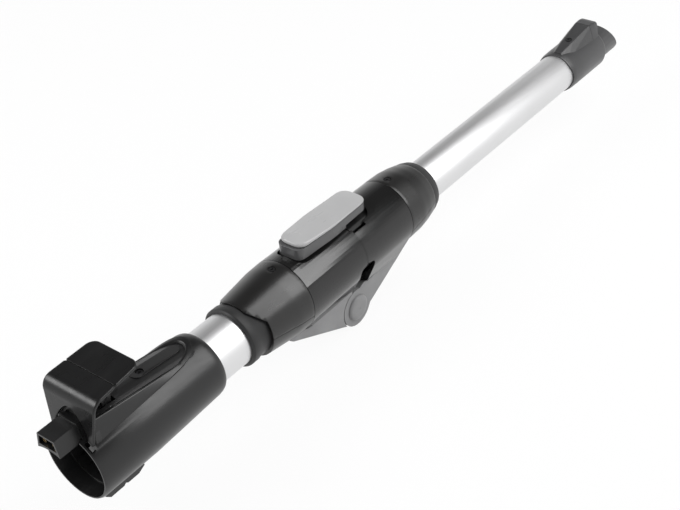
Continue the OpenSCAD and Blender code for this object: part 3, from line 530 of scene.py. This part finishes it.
RECIPES: dict[Finish, MouldedPlastic | DrawnMetal | SoftRubber] = {
    Finish.SOCKET: MouldedPlastic("socket_black", (0.0075, 0.0075, 0.0077), 0.33, gloss=0.5, swell=0.25),
    Finish.PEDAL: MouldedPlastic("pedal_black", (0.006, 0.006, 0.0062), 0.3, gloss=0.38, swell=0.25),
    Finish.COLLAR: MouldedPlastic("collar_black", (0.022, 0.022, 0.0225), 0.5, gloss=0.35),
    Finish.SHELL: MouldedPlastic("shell_black", (0.0075, 0.0074, 0.0074), 0.1, grain=0.6,
                                 grain_height=0.003, gloss=0.56, rubs=0.03, swell=0.2),
    Finish.GRIP: MouldedPlastic("grip_black", (0.009, 0.0087, 0.0085), 0.3, grain=0.8,
                                grain_height=0.004, gloss=0.56, rubs=0.03, swell=0.08),
    Finish.INNER: MouldedPlastic("inner_black", (0.012, 0.012, 0.012), 0.5, gloss=0.3),
    Finish.CONNECTOR: MouldedPlastic("connector_grey", (0.04, 0.04, 0.0415), 0.38, gloss=0.6),
    Finish.BRACKET: MouldedPlastic("bracket_grey", (0.24, 0.24, 0.243), 0.42, grain_height=0.016,
                                   gloss=0.4),
    Finish.CAP: MouldedPlastic("cap_grey", (0.40, 0.40, 0.403), 0.3, gloss=0.5, mottle=0.04,
                               swell=0.1),
    Finish.LEVER: MouldedPlastic("lever_grey", (0.085, 0.085, 0.087), 0.2, grain_height=0.004, gloss=0.5),
    Finish.TUBE: DrawnMetal("tube_aluminium", (0.74, 0.74, 0.745), 0.47),
    Finish.STEEL: DrawnMetal("steel", (0.58, 0.58, 0.59), 0.25, (1, 1, 1), 900),
    Finish.BRASS: DrawnMetal("contact_brass", (0.34, 0.25, 0.12), 0.34),
    Finish.WASHER: MouldedPlastic("washer_white", (0.74, 0.73, 0.68), 0.45, mottle=0.04),
    Finish.HOSE: SoftRubber("hose_rubber"),
    Finish.LEAD: SoftRubber("lead_rubber", (0.022, 0.022, 0.023), 0.5),
    Finish.SCREW: DrawnMetal("screw_black", (0.06, 0.06, 0.062), 0.35, (1, 1, 1), 1400),
}


class Workshop:
    """Makes the finishes once and puts pieces into the scene."""

    def __init__(self) -> None:
        """Builds every finish."""
        self.finishes = {key: recipe.material() for key, recipe in RECIPES.items()}
        self.replaced: set[str] = set()

    def dress(self, obj: bpy.types.Object, finish: Finish) -> None:
        """Gives all of an object's faces one finish."""
        if not obj.material_slots:
            obj.data.materials.append(self.finishes[finish])
        for slot in obj.material_slots:
            slot.material = self.finishes[finish]

    def piece(self, name: str, skin: Skin, finish: Finish, sharp: float = 38.0) -> bpy.types.Object:
        """Makes a piece from its skin, with its finish and slot.

        Args:
            name: Name of the piece.
            skin: Surfaces of the piece.
            finish: Its finish.
            sharp: Angle of its creases in degrees.

        Returns:
            The object, at the origin.
        """
        obj = bpy.data.objects.new(name, skin.mesh(name, sharp))
        bpy.context.scene.collection.objects.link(obj)
        self.dress(obj, finish)
        LOG.info("piece %s: %d faces", name, len(obj.data.polygons))
        return obj

    def carried(self, obj: bpy.types.Object, body: str, *nodes: str) -> bpy.types.Object:
        """Lets a piece ride on a body and stand for CAD nodes.

        Args:
            obj: The piece.
            body: Name of the body.
            *nodes: CAD nodes that it replaces.

        Returns:
            The piece.
        """
        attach(obj, body)
        if nodes:
            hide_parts(*nodes)
            self.replaced.update(nodes)
        return obj

    def cad(self, node: str, finish: Finish, edge: float = 0.4) -> bpy.types.Object:
        """Dresses a CAD node and rounds its edges with live modifiers.

        Args:
            node: Name of the node.
            finish: Its finish.
            edge: Radius of its edges in millimetres, 0 for none.

        Returns:
            The node's object.
        """
        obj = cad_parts[node]
        self.dress(obj, finish)
        if edge > 0:
            weld = obj.modifiers.new("weld", "WELD")
            weld.merge_threshold = 0.004 * MM
            bevel = obj.modifiers.new("bevel", "BEVEL")
            bevel.width = edge * MM
            bevel.segments = 3
            bevel.limit_method = "ANGLE"
            bevel.angle_limit = math.radians(40)
            bevel.use_clamp_overlap = True
            bevel.harden_normals = True
        LOG.info("node %s dressed", node)
        return obj


# ---------------------------------------------------------------- sub-assemblies


@dataclass
class Socket:
    """Socket barrel with its saddle, plug block and foot pad."""

    bore_r: float = 25.2
    ribs: int = 8
    rib_x: tuple[float, float] = (15.0, 40.0)
    barrel_r: float = 28.5

    def bore_ribs(self, shop: Workshop) -> bpy.types.Object:
        """Low beads inside the mouth: height h (1 - v^2) (1 - s^8) above the bore along each bead."""
        skin = Skin()
        s, v = np.meshgrid(np.linspace(-1, 1, 17), np.linspace(-1, 1, 9), indexing="ij")
        for k in range(self.ribs):
            middle = math.radians(112 + 136 * k / (self.ribs - 1))
            angle = middle + v * 0.028
            rise = 0.45 * (1 - v ** 2) * (1 - s ** 8) - 0.1
            r = self.bore_r - rise
            x = np.mean(self.rib_x) + np.ptp(self.rib_x) / 2 * s
            skin.grid(np.stack([x, r * np.sin(angle), r * np.cos(angle)], 2))
        obj = shop.piece("bore_ribs", skin, Finish.SOCKET)
        return shop.carried(obj, "lower_half")

    def flanks(self, shop: Workshop) -> bpy.types.Object:
        """Flat flanks of the saddle from the crease on the barrel up to the raised rim of its top.

        Crease and rim are two lines round the saddle, matched by their shares of length. Each section
        runs from inside the saddle over the rim, down the flank and under its lower edge, and each of
        its corners B is rounded as (1 - t)^2 A + 2 t (1 - t) B + t^2 D, with A and D on its two sides.
        """
        crease = np.array([[10.6, 18.7], [18, 18.4], [34, 17.8], [51, 17.2], [69, 16.4], [86, 15.4], [97, 14.2],
                           [104, 12.4], [108.6, 9.4], [111.3, 5.6], [112.3, 0]])
        rim = np.array([[10.6, 12.4], [18, 12.6], [35, 13], [54, 13.3], [70, 13.4], [84, 13.0], [94, 12.1],
                        [101, 10.4], [106, 7.5], [108.9, 4.3], [110, 0]])
        mirror = np.array([1, -1])
        crease = softened(along(np.vstack([crease, crease[-2::-1] * mirror]), 241), 60)
        rim = softened(along(np.vstack([rim, rim[-2::-1] * mirror]), 241), 60)
        barrel = lambda y: np.sqrt(self.barrel_r ** 2 - y ** 2)
        slope_z = 35.95 - 0.12 * (rim[:, 0] - 10)
        r = np.column_stack([rim, np.maximum(slope_z, barrel(rim[:, 1]) + 0.55)])
        c = np.column_stack([crease, barrel(crease[:, 1]) + 0.75])
        inward = np.column_stack([rim - crease, np.zeros(len(rim))])
        inward /= np.linalg.norm(inward, axis=1, keepdims=True)
        up = np.array([0, 0, 1.0])
        corners = [r + inward * 3 - up * 1.7, r + inward * 1.9 - up * 0.25, r, c, c + inward + up * 0.05,
                   c + inward * 1.2 - up * 1.6]
        rows = [corners[0]]
        for k, radius in ((1, 0.5), (2, 0.8), (3, 0.25), (4, 0.1)):
            back, on = corners[k - 1] - corners[k], corners[k + 1] - corners[k]
            a = corners[k] + back / np.linalg.norm(back, axis=1, keepdims=True) * radius
            d = corners[k] + on / np.linalg.norm(on, axis=1, keepdims=True) * radius
            rows += [(1 - t) ** 2 * a + 2 * t * (1 - t) * corners[k] + t ** 2 * d for t in np.linspace(0, 1, 6)]
        grid = np.array(rows + [corners[5]])
        skin = Skin().grid(grid)
        skin.cap(grid[:, 0]).cap(grid[:, -1])
        obj = shop.piece("saddle_flanks", skin, Finish.SOCKET, 50)
        return shop.carried(obj, "lower_half")

    def build(self, shop: Workshop) -> None:
        """Makes and dresses the socket's pieces."""
        self.bore_ribs(shop)
        self.flanks(shop)
        shop.cad("saddle_cover", Finish.SOCKET, 0.45)
        shop.cad("socket_barrel", Finish.SOCKET, 0.4)
        shop.cad("spine_cover", Finish.SOCKET, 0.25)
        shop.cad("plug_block", Finish.SOCKET, 0.45)
        shop.cad("foot_pad", Finish.SOCKET, 0.4)
        shop.cad("plug_contacts", Finish.BRASS, 0.1)


@dataclass
class Pedal:
    """Release pedal: a leaning wall with an arch, a bend and a plate with a fold groove."""

    front_x: float = 6.5
    foot: tuple[float, float] = (2.76, 18.0)
    bend: float = 9.0
    top: float = 61.0
    drop: float = 2.4
    rear_x: float = 52.0
    rear_half: float = 22.5
    flare: float = 2.0
    foot_half: float = 19.2
    sheet: float = 2.6
    arch_half: float = 14.6
    arch_top: float = 46.0
    arch_rise: float = 15.0
    corner: float = 7.0
    groove_x: float = 28.0
    groove_deep: float = 0.7

    def side_line(self) -> Array:
        """Middle line of the sheet from its foot to the plate's end: wall, arc of radius bend, plate."""
        tilt = math.atan2(self.drop, self.rear_x - self.front_x - self.bend)
        centre = np.array([self.front_x + self.bend, self.top - self.drop - self.bend])
        r = self.bend - self.sheet / 2
        a = np.linspace(np.pi, np.pi / 2 + tilt, 24)
        arc = centre + r * np.stack([np.cos(a), np.sin(a)], 1)
        reach = self.rear_x - arc[-1, 0]
        end = arc[-1] + reach * np.array([1, math.tan(tilt)])
        foot = [self.foot[0] + self.sheet / 2, self.foot[1]]
        return along(np.vstack([foot, arc, end]), 400)

    def half_width(self, x: Array, z: Array) -> Array:
        """Half width of the sheet: the least of the front view's at a height and the plan's at a place.

        A nick 0.7 deep is taken out at the groove as 1 / (1 + (d / 0.7)^8).
        """
        wide = self.rear_half + self.flare
        front = np.interp(z, [20, 40, 52, 58], [self.foot_half, wide - 2.1, wide - 0.4, wide])
        plan = wide - self.flare * np.clip((x - 8.5) / (self.rear_x - self.corner - 8.5), 0, 1.2)
        nick = 0.7 / (1 + ((x - self.groove_x) / 0.7) ** 8) * (z > 50)
        return np.minimum(front, plan) - nick

    def build(self, shop: Workshop) -> None:
        """Makes the sheet as a grid of runs along its side line by widths across it.

        The middle columns start at the arch z = top - rise |y / half|^1.8, the outer ones at the feet
        on the barrel. Rows crowd round the groove, which sinks by deep / (1 + (d / 0.3)^8).
        """
        line = self.side_line()
        run = np.concatenate([[0], np.cumsum(np.linalg.norm(np.diff(line, axis=0), axis=1))])
        inner = near_both(-self.arch_half, self.arch_half, 0.9, 25)[:, 0]
        strip = near_both(0.0, 1.0, 0.16, 4)[:, 0]
        share = np.concatenate([-1 - strip[::-1], inner[1:-1] / self.arch_half, 1 + strip])
        centre = np.abs(share) < 1 - 1e-9
        y_flat = np.clip(share, -1, 1) * self.arch_half
        sides = np.sign(share) * np.maximum(np.abs(share) - 1, 0)
        plate_y = y_flat + sides * (self.rear_half - self.arch_half)
        foot_z = np.sqrt(29.1 ** 2 - (y_flat + sides * (self.foot_half - self.arch_half)) ** 2)
        arch = self.arch_top - self.arch_rise * np.minimum(np.abs(y_flat / self.arch_half), 1) ** 1.8
        over = np.maximum(np.abs(plate_y) - (self.rear_half - self.corner), 0)
        end = run[-1] - (self.corner - np.sqrt(self.corner ** 2 - over ** 2))
        low = np.interp(arch, line[:, 1], run)
        feet = np.interp(foot_z, line[:, 1], run)
        fold = np.interp(self.groove_x, line[:, 0], run)
        steps = np.array([1.1, 0.75, 0.6, 0.52, 0.46, 0.4, 0.34, 0.26, 0.12])
        groove_rows = fold + np.concatenate([-steps, [0.0], steps[::-1]])[:, None] + 0 * low[None]
        before = near_both(low, 0 * low + fold - 1.6, 0.9, 40)
        upper = np.concatenate([before, groove_rows, near_both(0 * low + fold + 1.6, end, 0.9, 24)])
        lower = near_both(feet, low, 0.9, 10)[:-1]
        s = np.concatenate([np.where(centre, upper[:1], lower), upper])
        x, z = np.interp(s, run, line[:, 0]), np.interp(s, run, line[:, 1])
        dx, dz = np.gradient(line[:, 0]), np.gradient(line[:, 1])
        tx, tz = np.interp(s, run, dx), np.interp(s, run, dz)
        size = np.hypot(tx, tz)
        y = y_flat + sides * (self.half_width(x, z) - self.arch_half)
        middle = np.stack([x, y, z], 2)
        normal = np.stack([-tz / size, 0 * tz, tx / size], 2)
        keep = np.ones((len(s) - 1, len(share) - 1), bool)
        keep[:len(lower), centre[:-1] | centre[1:]] = False
        slab = Slab(middle, normal, self.sheet, 0.9, keep)
        skin = slab.add_to(Skin())
        count = len(middle.reshape(-1, 3))
        sink = self.groove_deep / (1 + (np.abs(s - fold) / 0.3) ** 8)
        upper_side = 0 if skin.points[0][:, 2].mean() > skin.points[1][:, 2].mean() else 1
        lift = (-1 if upper_side == 0 else 1) * normal.reshape(-1, 3) * sink.reshape(-1, 1)
        skin.points[upper_side] = skin.points[upper_side] + lift
        skin.points[2][upper_side * count:(upper_side + 1) * count] += lift
        self.ribs(skin)
        obj = shop.piece("pedal_sheet", skin, Finish.PEDAL)
        shop.carried(obj, "pedal", "release_pedal")

    def ribs(self, skin: Skin) -> None:
        """Two ribs under the plate that carry the pin's bosses, and the lugs at the feet."""
        outline = along(rounded([(26.4, 31.5, 3.6), (30, 27.9, 3.6), (33.6, 31.5, 3.6), (36.6, 58.0, 0.5),
                                 (23.4, 57.4, 0.5)]), 64, closed=True)
        for side in (-1, 1):
            y = side * np.array([4.5, 4.9, 7.1, 7.5])
            inset = np.array([0.4, 0.0, 0.0, 0.4])[:, None, None]
            middle = outline.mean(0)
            ring = outline[None] + (middle - outline)[None] * inset / 8
            grid = np.stack([ring[..., 0], np.broadcast_to(y[:, None], ring.shape[:2]), ring[..., 1]], 2)
            skin.grid(grid, wrap=(False, True))
            skin.cap(grid[0]).cap(grid[-1])
            lug = rounded([(3.3, -2, 0.4), (5.5, -2, 0.4), (5.5, 2, 0.4), (3.3, 2, 0.4)])
            turn = math.radians(-40 * side)
            r = np.array([25.3, 30.9])[:, None]
            px = np.broadcast_to(lug[:, 0], (2, len(lug)))
            py = lug[:, 1] * math.cos(turn) - r * math.sin(turn)
            pz = lug[:, 1] * math.sin(turn) + r * math.cos(turn)
            block = np.stack([px, py, pz], 2)
            skin.grid(block, wrap=(False, True))
            skin.cap(block[0]).cap(block[-1])


@dataclass
class Button:
    """Release button: pale cap on a grey lever, in a well across the knee."""

    front_x: float = 221.0
    length: float = 81.5
    half: float = 13.5
    back: float = 3.0
    lever_top: float = 37.6
    top: float = 40.5

    def plan(self, grow: float, back: float, count: int = 160) -> Array:
        """Outline seen from above: rounded nose, widest at the pivot, rounded tail."""
        circles = []
        for s in (-1, 1):
            circles += [(self.front_x + 6 + back, s * (self.half - 7.9), 6 + grow),
                        (self.front_x + 37, s * (self.half - 2), 2 + grow),
                        (self.front_x + self.length - 7, s * (self.half - 8.2), 7 + grow)]
        return softened(hull_outline(circles, count), 10, closed=True)

    def cap(self, shop: Workshop) -> bpy.types.Object:
        """Cap with a full rounded edge and a crowned top.

        Ring k of the edge is the outline inset by e (1 - cos a) at height h - e + e sin a. From the tail
        to the front h rises by 2.2 and e grows from 0.75 to 2, both in one straight ramp. Over the top
        the height is h + c (1 - t^2), where t runs from 1 at the edge to 0 at the spine. A dark strip
        below the lowest ring is painted shade: it stands for the shadow in the gap between cap and lever.
        """
        outline = self.plan(0.5, self.back)
        spine_x = np.clip(outline[:, 0], self.front_x + 14, self.front_x + self.length - 13)
        spine = np.stack([spine_x, 0 * spine_x], 1)
        reach = np.linalg.norm(outline - spine, axis=1, keepdims=True)
        inward = (spine - outline) / reach
        ramp = np.clip((self.front_x + 62 - outline[:, :1]) / 54, 0, 1)
        edge, high = 0.75 + 1.25 * ramp, self.top - 1.2 + 2.2 * ramp
        angles = np.linspace(-np.pi / 3.6, np.pi / 2, 16)
        rings = [np.concatenate([outline + inward * 2.4, high - 0.9 * edge], 1)]
        for angle in angles:
            inset = edge * (1 - math.cos(angle))
            rings.append(np.concatenate([outline + inward * inset, high - edge * (1 - math.sin(angle))], 1))
        low = rings[1]
        # painted shade: a dark strip in the inner finish under the cap's edge stands for the shadow in the gap
        # between cap and lever
        gap_shade_rings = [low - [0, 0, 0.5], low + [0, 0, 0.05], low + np.pad(inward, ((0, 0), (0, 1)))]
        gap_shade = shop.piece("button_seam", Skin().grid(np.array(gap_shade_rings), wrap=(False, True)), Finish.INNER)
        shop.carried(gap_shade, "button")
        for t in np.linspace(1, 0, 14)[1:]:
            place = spine + (outline + inward * edge - spine) * t
            rings.append(np.concatenate([place, high + 1.2 * (1 - t ** 2)], 1))
        skin = Skin().grid(np.array(rings), wrap=(False, True))
        bottom = np.concatenate([spine, 0 * high + self.lever_top], 1)
        skin.grid(np.stack([rings[0], bottom]), wrap=(False, True))
        obj = shop.piece("button_cap_skin", skin, Finish.CAP)
        return shop.carried(obj, "button", "button_cap")

    def build(self, shop: Workshop) -> None:
        """Makes and dresses the button's pieces."""
        self.cap(shop)
        shop.cad("button_lever", Finish.LEVER, 0.3)
        shop.cad("button_pin", Finish.LEVER, 0.1)
        Coil(237.0, 24.05, 35.3, 4.0, 5, 0.45).build(shop, "button_coil", "button_spring", "button_rock", 0.8)


@dataclass
class Coil:
    """Compression spring wound of round wire, with closed ends."""

    x: float
    low: float
    high: float
    radius: float
    turns: int
    wire: float

    def build(self, shop: Workshop, name: str, node: str, joint: str, keep: float) -> bpy.types.Object:
        """Winds the wire: (x + r cos a, r sin a, z(a)), with z flat over the first and last turn.

        Args:
            shop: The workshop.
            name: Name of the piece.
            node: CAD node that it replaces.
            joint: Joint that presses it; not used.
            keep: Share of its length that is left at the joint's limit; not used.

        Returns:
            The piece.
        """
        r = self.radius - self.wire
        a = np.linspace(0, 2 * np.pi * self.turns, 26 * self.turns)
        ends = 2 * np.pi * 0.9
        rise = np.interp(a, [0, ends, a[-1] - ends, a[-1]],
                         [0, 2 * self.wire, self.high - self.low - 4 * self.wire,
                          self.high - self.low - 2 * self.wire])
        path = np.stack([self.x + r * np.cos(a), r * np.sin(a), self.low + self.wire + rise], 1)
        outward = np.stack([np.cos(a), np.sin(a), 0 * a], 1)
        grid = swept(path, outward, circle(self.wire, 10))
        skin = Skin().grid(grid, wrap=(False, True)).cap(grid[0]).cap(grid[-1])
        obj = shop.piece(name, skin, Finish.STEEL)
        shop.carried(obj, "lower_half", node)
        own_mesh(obj)
        return obj


@dataclass
class Knee:
    """Knee: shells, brackets, hinge, and the hose and lead inside them."""

    hose_x: tuple[float, float] = (219.52, 324.98)
    hose_r: tuple[float, float, float] = (16.1, 16.9, 19.0)
    pleats: int = 12
    lead_x: tuple[float, float] = (233.02, 320.98)
    lead_y: float = 6.2
    lead_z: float = 20.0

    def hose(self, shop: Workshop) -> bpy.types.Object:
        """Bellows hose: r = low + (high - low) (0.5 - 0.5 cos(2 pi p))^0.7 over each pleat p."""
        x = np.linspace(*self.hose_x, self.pleats * 14 + 1)
        p = (x - x[0]) / (x[-1] - x[0]) * self.pleats
        wave = (0.5 - 0.5 * np.cos(2 * np.pi * p)) ** 0.7
        r = self.hose_r[1] + (self.hose_r[2] - self.hose_r[1]) * wave
        outer = np.stack([x, r], 1)
        inner = np.stack([x[::-1], np.full(len(x), self.hose_r[0])], 1)
        skin = Skin().grid(turned(np.vstack([outer, inner]), 72), wrap=(True, True))
        obj = shop.piece("hose_bellows", skin, Finish.HOSE, 60)
        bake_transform(obj)
        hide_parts("bellows_hose")
        return obj

    def lead(self, shop: Workshop) -> bpy.types.Object:
        """Flat lead across the knee, a rounded strip on a straight path."""
        x = np.linspace(*self.lead_x, 40)
        path = np.stack([x, np.full(40, self.lead_y), np.full(40, self.lead_z)], 1)
        section = rounded([(-2, -1, 0.6), (2, -1, 0.6), (2, 1, 0.6), (-2, 1, 0.6)])
        grid = swept(path, np.array([0.0, 1.0, 0.0]), section)
        skin = Skin().grid(grid, wrap=(False, True)).cap(grid[0]).cap(grid[-1])
        obj = shop.piece("lead_loop", skin, Finish.LEAD)
        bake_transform(obj)
        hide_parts("lead_knee")
        return obj

    def build(self, shop: Workshop) -> None:
        """Makes and dresses the knee's pieces."""
        self.hose(shop)
        self.lead(shop)
        for node in ("knee_front_shell", "knee_rear_shell"):
            shop.cad(node, Finish.SHELL, 0.0)
        for node in ("front_bracket", "rear_bracket", "hinge_caps"):
            shop.cad(node, Finish.BRACKET, 0.5)
        for node in ("front_cuff", "rear_cuff", "latch_tray", "latch_catch"):
            shop.cad(node, Finish.INNER, 0.0)
        shop.cad("hinge_pin", Finish.STEEL, 0.2)
        shop.cad("hinge_washers", Finish.WASHER, 0.0)


@dataclass
class Grips:
    """Collars, bell and end ring round the tubes."""

    def build(self, shop: Workshop) -> None:
        """Dresses the nodes."""
        for node in ("bell_upper", "bell_lower", "rear_collar_upper", "rear_collar_lower"):
            shop.cad(node, Finish.GRIP, 0.35)
        shop.cad("front_collar", Finish.COLLAR, 0.4)
        shop.cad("rear_end_ring", Finish.COLLAR, 0.4)
        shop.cad("lower_tube", Finish.TUBE, 0.0)
        shop.cad("upper_tube", Finish.TUBE, 0.2)
        for node in ("screws_front", "screws_rear"):
            shop.cad(node, Finish.SCREW, 0.1)
        for node in ("lead_front", "lead_rear"):
            shop.cad(node, Finish.LEAD, 0.2)


@dataclass
class FarEnd:
    """Connector, spigot and the fin with its contacts."""

    def build(self, shop: Workshop) -> None:
        """Dresses the nodes."""
        shop.cad("far_connector", Finish.CONNECTOR, 0.4)
        shop.cad("fin_cover", Finish.CONNECTOR, 0.7)
        shop.cad("fin_end_cap", Finish.CONNECTOR, 0.5)
        shop.cad("fin_contacts", Finish.BRASS, 0.1)


# ---------------------------------------------------------------- studio


@dataclass
class Softbox:
    """Area lamp that faces the object from a direction, with its height along upright."""

    towards: tuple[float, float, float]
    distance: float
    size: tuple[float, float]
    power: float
    upright: tuple[float, float, float] = (0, 0, 1)

    def build(self, name: str, aim: Vector) -> None:
        """Places the lamp at aim + distance * towards, facing the aim."""
        data = bpy.data.lights.new(name, "AREA")
        data.shape = "RECTANGLE"
        data.size, data.size_y = self.size
        data.energy = self.power
        lamp = bpy.data.objects.new(name, data)
        way = Vector(self.towards).normalized()
        across = Vector(self.upright).cross(way).normalized()
        turn = Matrix((across, way.cross(across), way)).transposed().to_4x4()
        lamp.matrix_world = Matrix.Translation(aim + way * self.distance) @ turn
        bpy.context.scene.collection.objects.link(lamp)


@dataclass
class Studio:
    """Camera of the photograph, white floor, softboxes and a white surround."""

    camera_place: tuple[float, float, float] = (-0.33560, -0.54349, 0.59811)
    forward: tuple[float, float, float] = (0.60321, 0.53369, -0.59272)
    up: tuple[float, float, float] = (0.50561, 0.31888, 0.80167)
    lens: float = 68.82
    floor_z: float = -0.0620
    fill: float = 0.42
    ceiling: float = 0.13

    def camera(self) -> None:
        """Creates the camera from its place, view direction and upward direction."""
        data = bpy.data.cameras.new("camera")
        data.lens, data.sensor_width, data.sensor_fit = self.lens, 36.0, "HORIZONTAL"
        data.clip_start, data.clip_end = 0.01, 50.0
        obj = bpy.data.objects.new("camera", data)
        forward, up = Vector(self.forward).normalized(), Vector(self.up).normalized()
        right = forward.cross(up).normalized()
        up = right.cross(forward)
        turn = Matrix((right, up, -forward)).transposed().to_4x4()
        obj.matrix_world = Matrix.Translation(self.camera_place) @ turn
        bpy.context.scene.collection.objects.link(obj)
        bpy.context.scene.camera = obj

    def white_ray(self, nodes: bpy.types.Nodes, links: bpy.types.NodeLinks) -> bpy.types.NodeSocket:
        """One for camera, glossy and transmission rays, zero for the others."""
        path = nodes.new("ShaderNodeLightPath")
        total = path.outputs["Is Camera Ray"]
        for name in ("Is Glossy Ray", "Is Transmission Ray"):
            most = nodes.new("ShaderNodeMath")
            most.operation = "MAXIMUM"
            links.new(total, most.inputs[0])
            links.new(path.outputs[name], most.inputs[1])
            total = most.outputs[0]
        return total

    def world(self) -> None:
        """White world for camera and glossy rays, a dimmer one for diffuse light.

        From a height of 0.15 to 0.65 of the direction's unit vector it turns into a dim ceiling.
        """
        world = bpy.data.worlds.new("surround")
        bpy.context.scene.world = world
        world.use_nodes = True
        nodes, links = world.node_tree.nodes, world.node_tree.links
        ground = nodes["Background"]
        ground.inputs["Color"].default_value = (1, 1, 1, 1)
        way = nodes.new("ShaderNodeTexCoord")
        height = nodes.new("ShaderNodeSeparateXYZ")
        shade = nodes.new("ShaderNodeMapRange")
        for name, value in (("From Min", 0.15), ("From Max", 0.65), ("To Min", 1.0), ("To Max", self.ceiling)):
            shade.inputs[name].default_value = value
        links.new(way.outputs["Generated"], height.inputs[0])
        links.new(height.outputs["Z"], shade.inputs["Value"])
        bright = nodes.new("ShaderNodeMix")
        bright.data_type = "FLOAT"
        links.new(shade.outputs["Result"], bright.inputs["B"])
        links.new(self.white_ray(nodes, links), bright.inputs["Factor"])
        bright.inputs["A"].default_value = self.fill
        links.new(bright.outputs["Result"], ground.inputs["Strength"])

    def floor(self) -> None:
        """White floor with a faint shadow, mostly clear for camera and glossy rays.

        They see the white surround through it, and the far half of the wand where it is folded down past
        the floor. Shadow rays pass too, so that the folded half is lit.
        """
        material = bpy.data.materials.new("floor_white")
        material.use_nodes = True
        nodes, links = material.node_tree.nodes, material.node_tree.links
        nodes.clear()
        speck = nodes.new("ShaderNodeTexNoise")
        speck.inputs["Scale"].default_value = 40
        tone = nodes.new("ShaderNodeMapRange")
        tone.inputs["To Min"].default_value = 0.82
        tone.inputs["To Max"].default_value = 0.84
        matt = nodes.new("ShaderNodeBsdfDiffuse")
        clear = nodes.new("ShaderNodeBsdfTransparent")
        path = nodes.new("ShaderNodeLightPath")
        shadow = nodes.new("ShaderNodeMath")
        shadow.operation = "MAXIMUM"
        mix = nodes.new("ShaderNodeMixShader")
        share = nodes.new("ShaderNodeMath")
        share.operation = "MULTIPLY"
        share.inputs[1].default_value = 0.93
        out = nodes.new("ShaderNodeOutputMaterial")
        where = nodes.new("ShaderNodeTexCoord")
        links.new(where.outputs["Object"], speck.inputs["Vector"])
        links.new(speck.outputs["Fac"], tone.inputs["Value"])
        links.new(tone.outputs["Result"], matt.inputs["Color"])
        links.new(self.white_ray(nodes, links), share.inputs[0])
        links.new(share.outputs[0], shadow.inputs[0])
        links.new(path.outputs["Is Shadow Ray"], shadow.inputs[1])
        links.new(shadow.outputs[0], mix.inputs[0])
        links.new(matt.outputs[0], mix.inputs[1])
        links.new(clear.outputs[0], mix.inputs[2])
        links.new(mix.outputs[0], out.inputs[0])
        u = np.linspace(-3, 3, 13)
        x, y = np.meshgrid(u + 0.35, u, indexing="ij")
        z = np.full(x.shape, self.floor_z)
        skin = Skin().grid(np.stack([x, y, z], 2) / MM)
        obj = bpy.data.objects.new("floor", skin.mesh("floor"))
        obj.data.materials.append(material)
        bpy.context.scene.collection.objects.link(obj)

    def build(self) -> None:
        """Sets up camera, floor, world and lamps."""
        scene = bpy.context.scene
        scene.view_settings.view_transform = "Standard"
        self.camera()
        self.world()
        self.floor()
        aim = Vector((0.27, 0, 0))
        Softbox((-0.59, 0.53, 0.60), 1.5, (0.9, 0.5), 11).build("softbox_back", aim)
        Softbox((0.44, -0.52, 0.73), 1.5, (0.66, 1.6), 18, (0, 0.7, 0.7)).build("softbox_flank", aim)
        LOG.info("studio ready")


def main() -> None:
    """Builds the wand piece by piece, then the studio round it."""
    logging.basicConfig(level=logging.INFO, format="%(message)s")
    for name in ("Cube", "Light", "Camera"):
        if name in bpy.data.objects:
            bpy.data.objects.remove(bpy.data.objects[name])
    shop = Workshop()
    for part in (Socket(), Pedal(), Grips(), Knee(), Button(), FarEnd()):
        part.build(shop)
        LOG.info("%s done", type(part).__name__)
    shop.cad("pedal_pin", Finish.STEEL, 0.1)
    Coil(44.0, 36.4, 57.5, 4.0, 8, 0.5).build(shop, "pedal_coil", "pedal_spring", "pedal_rock", 0.9)
    Studio().build()


if __name__ == "__main__":
    main()
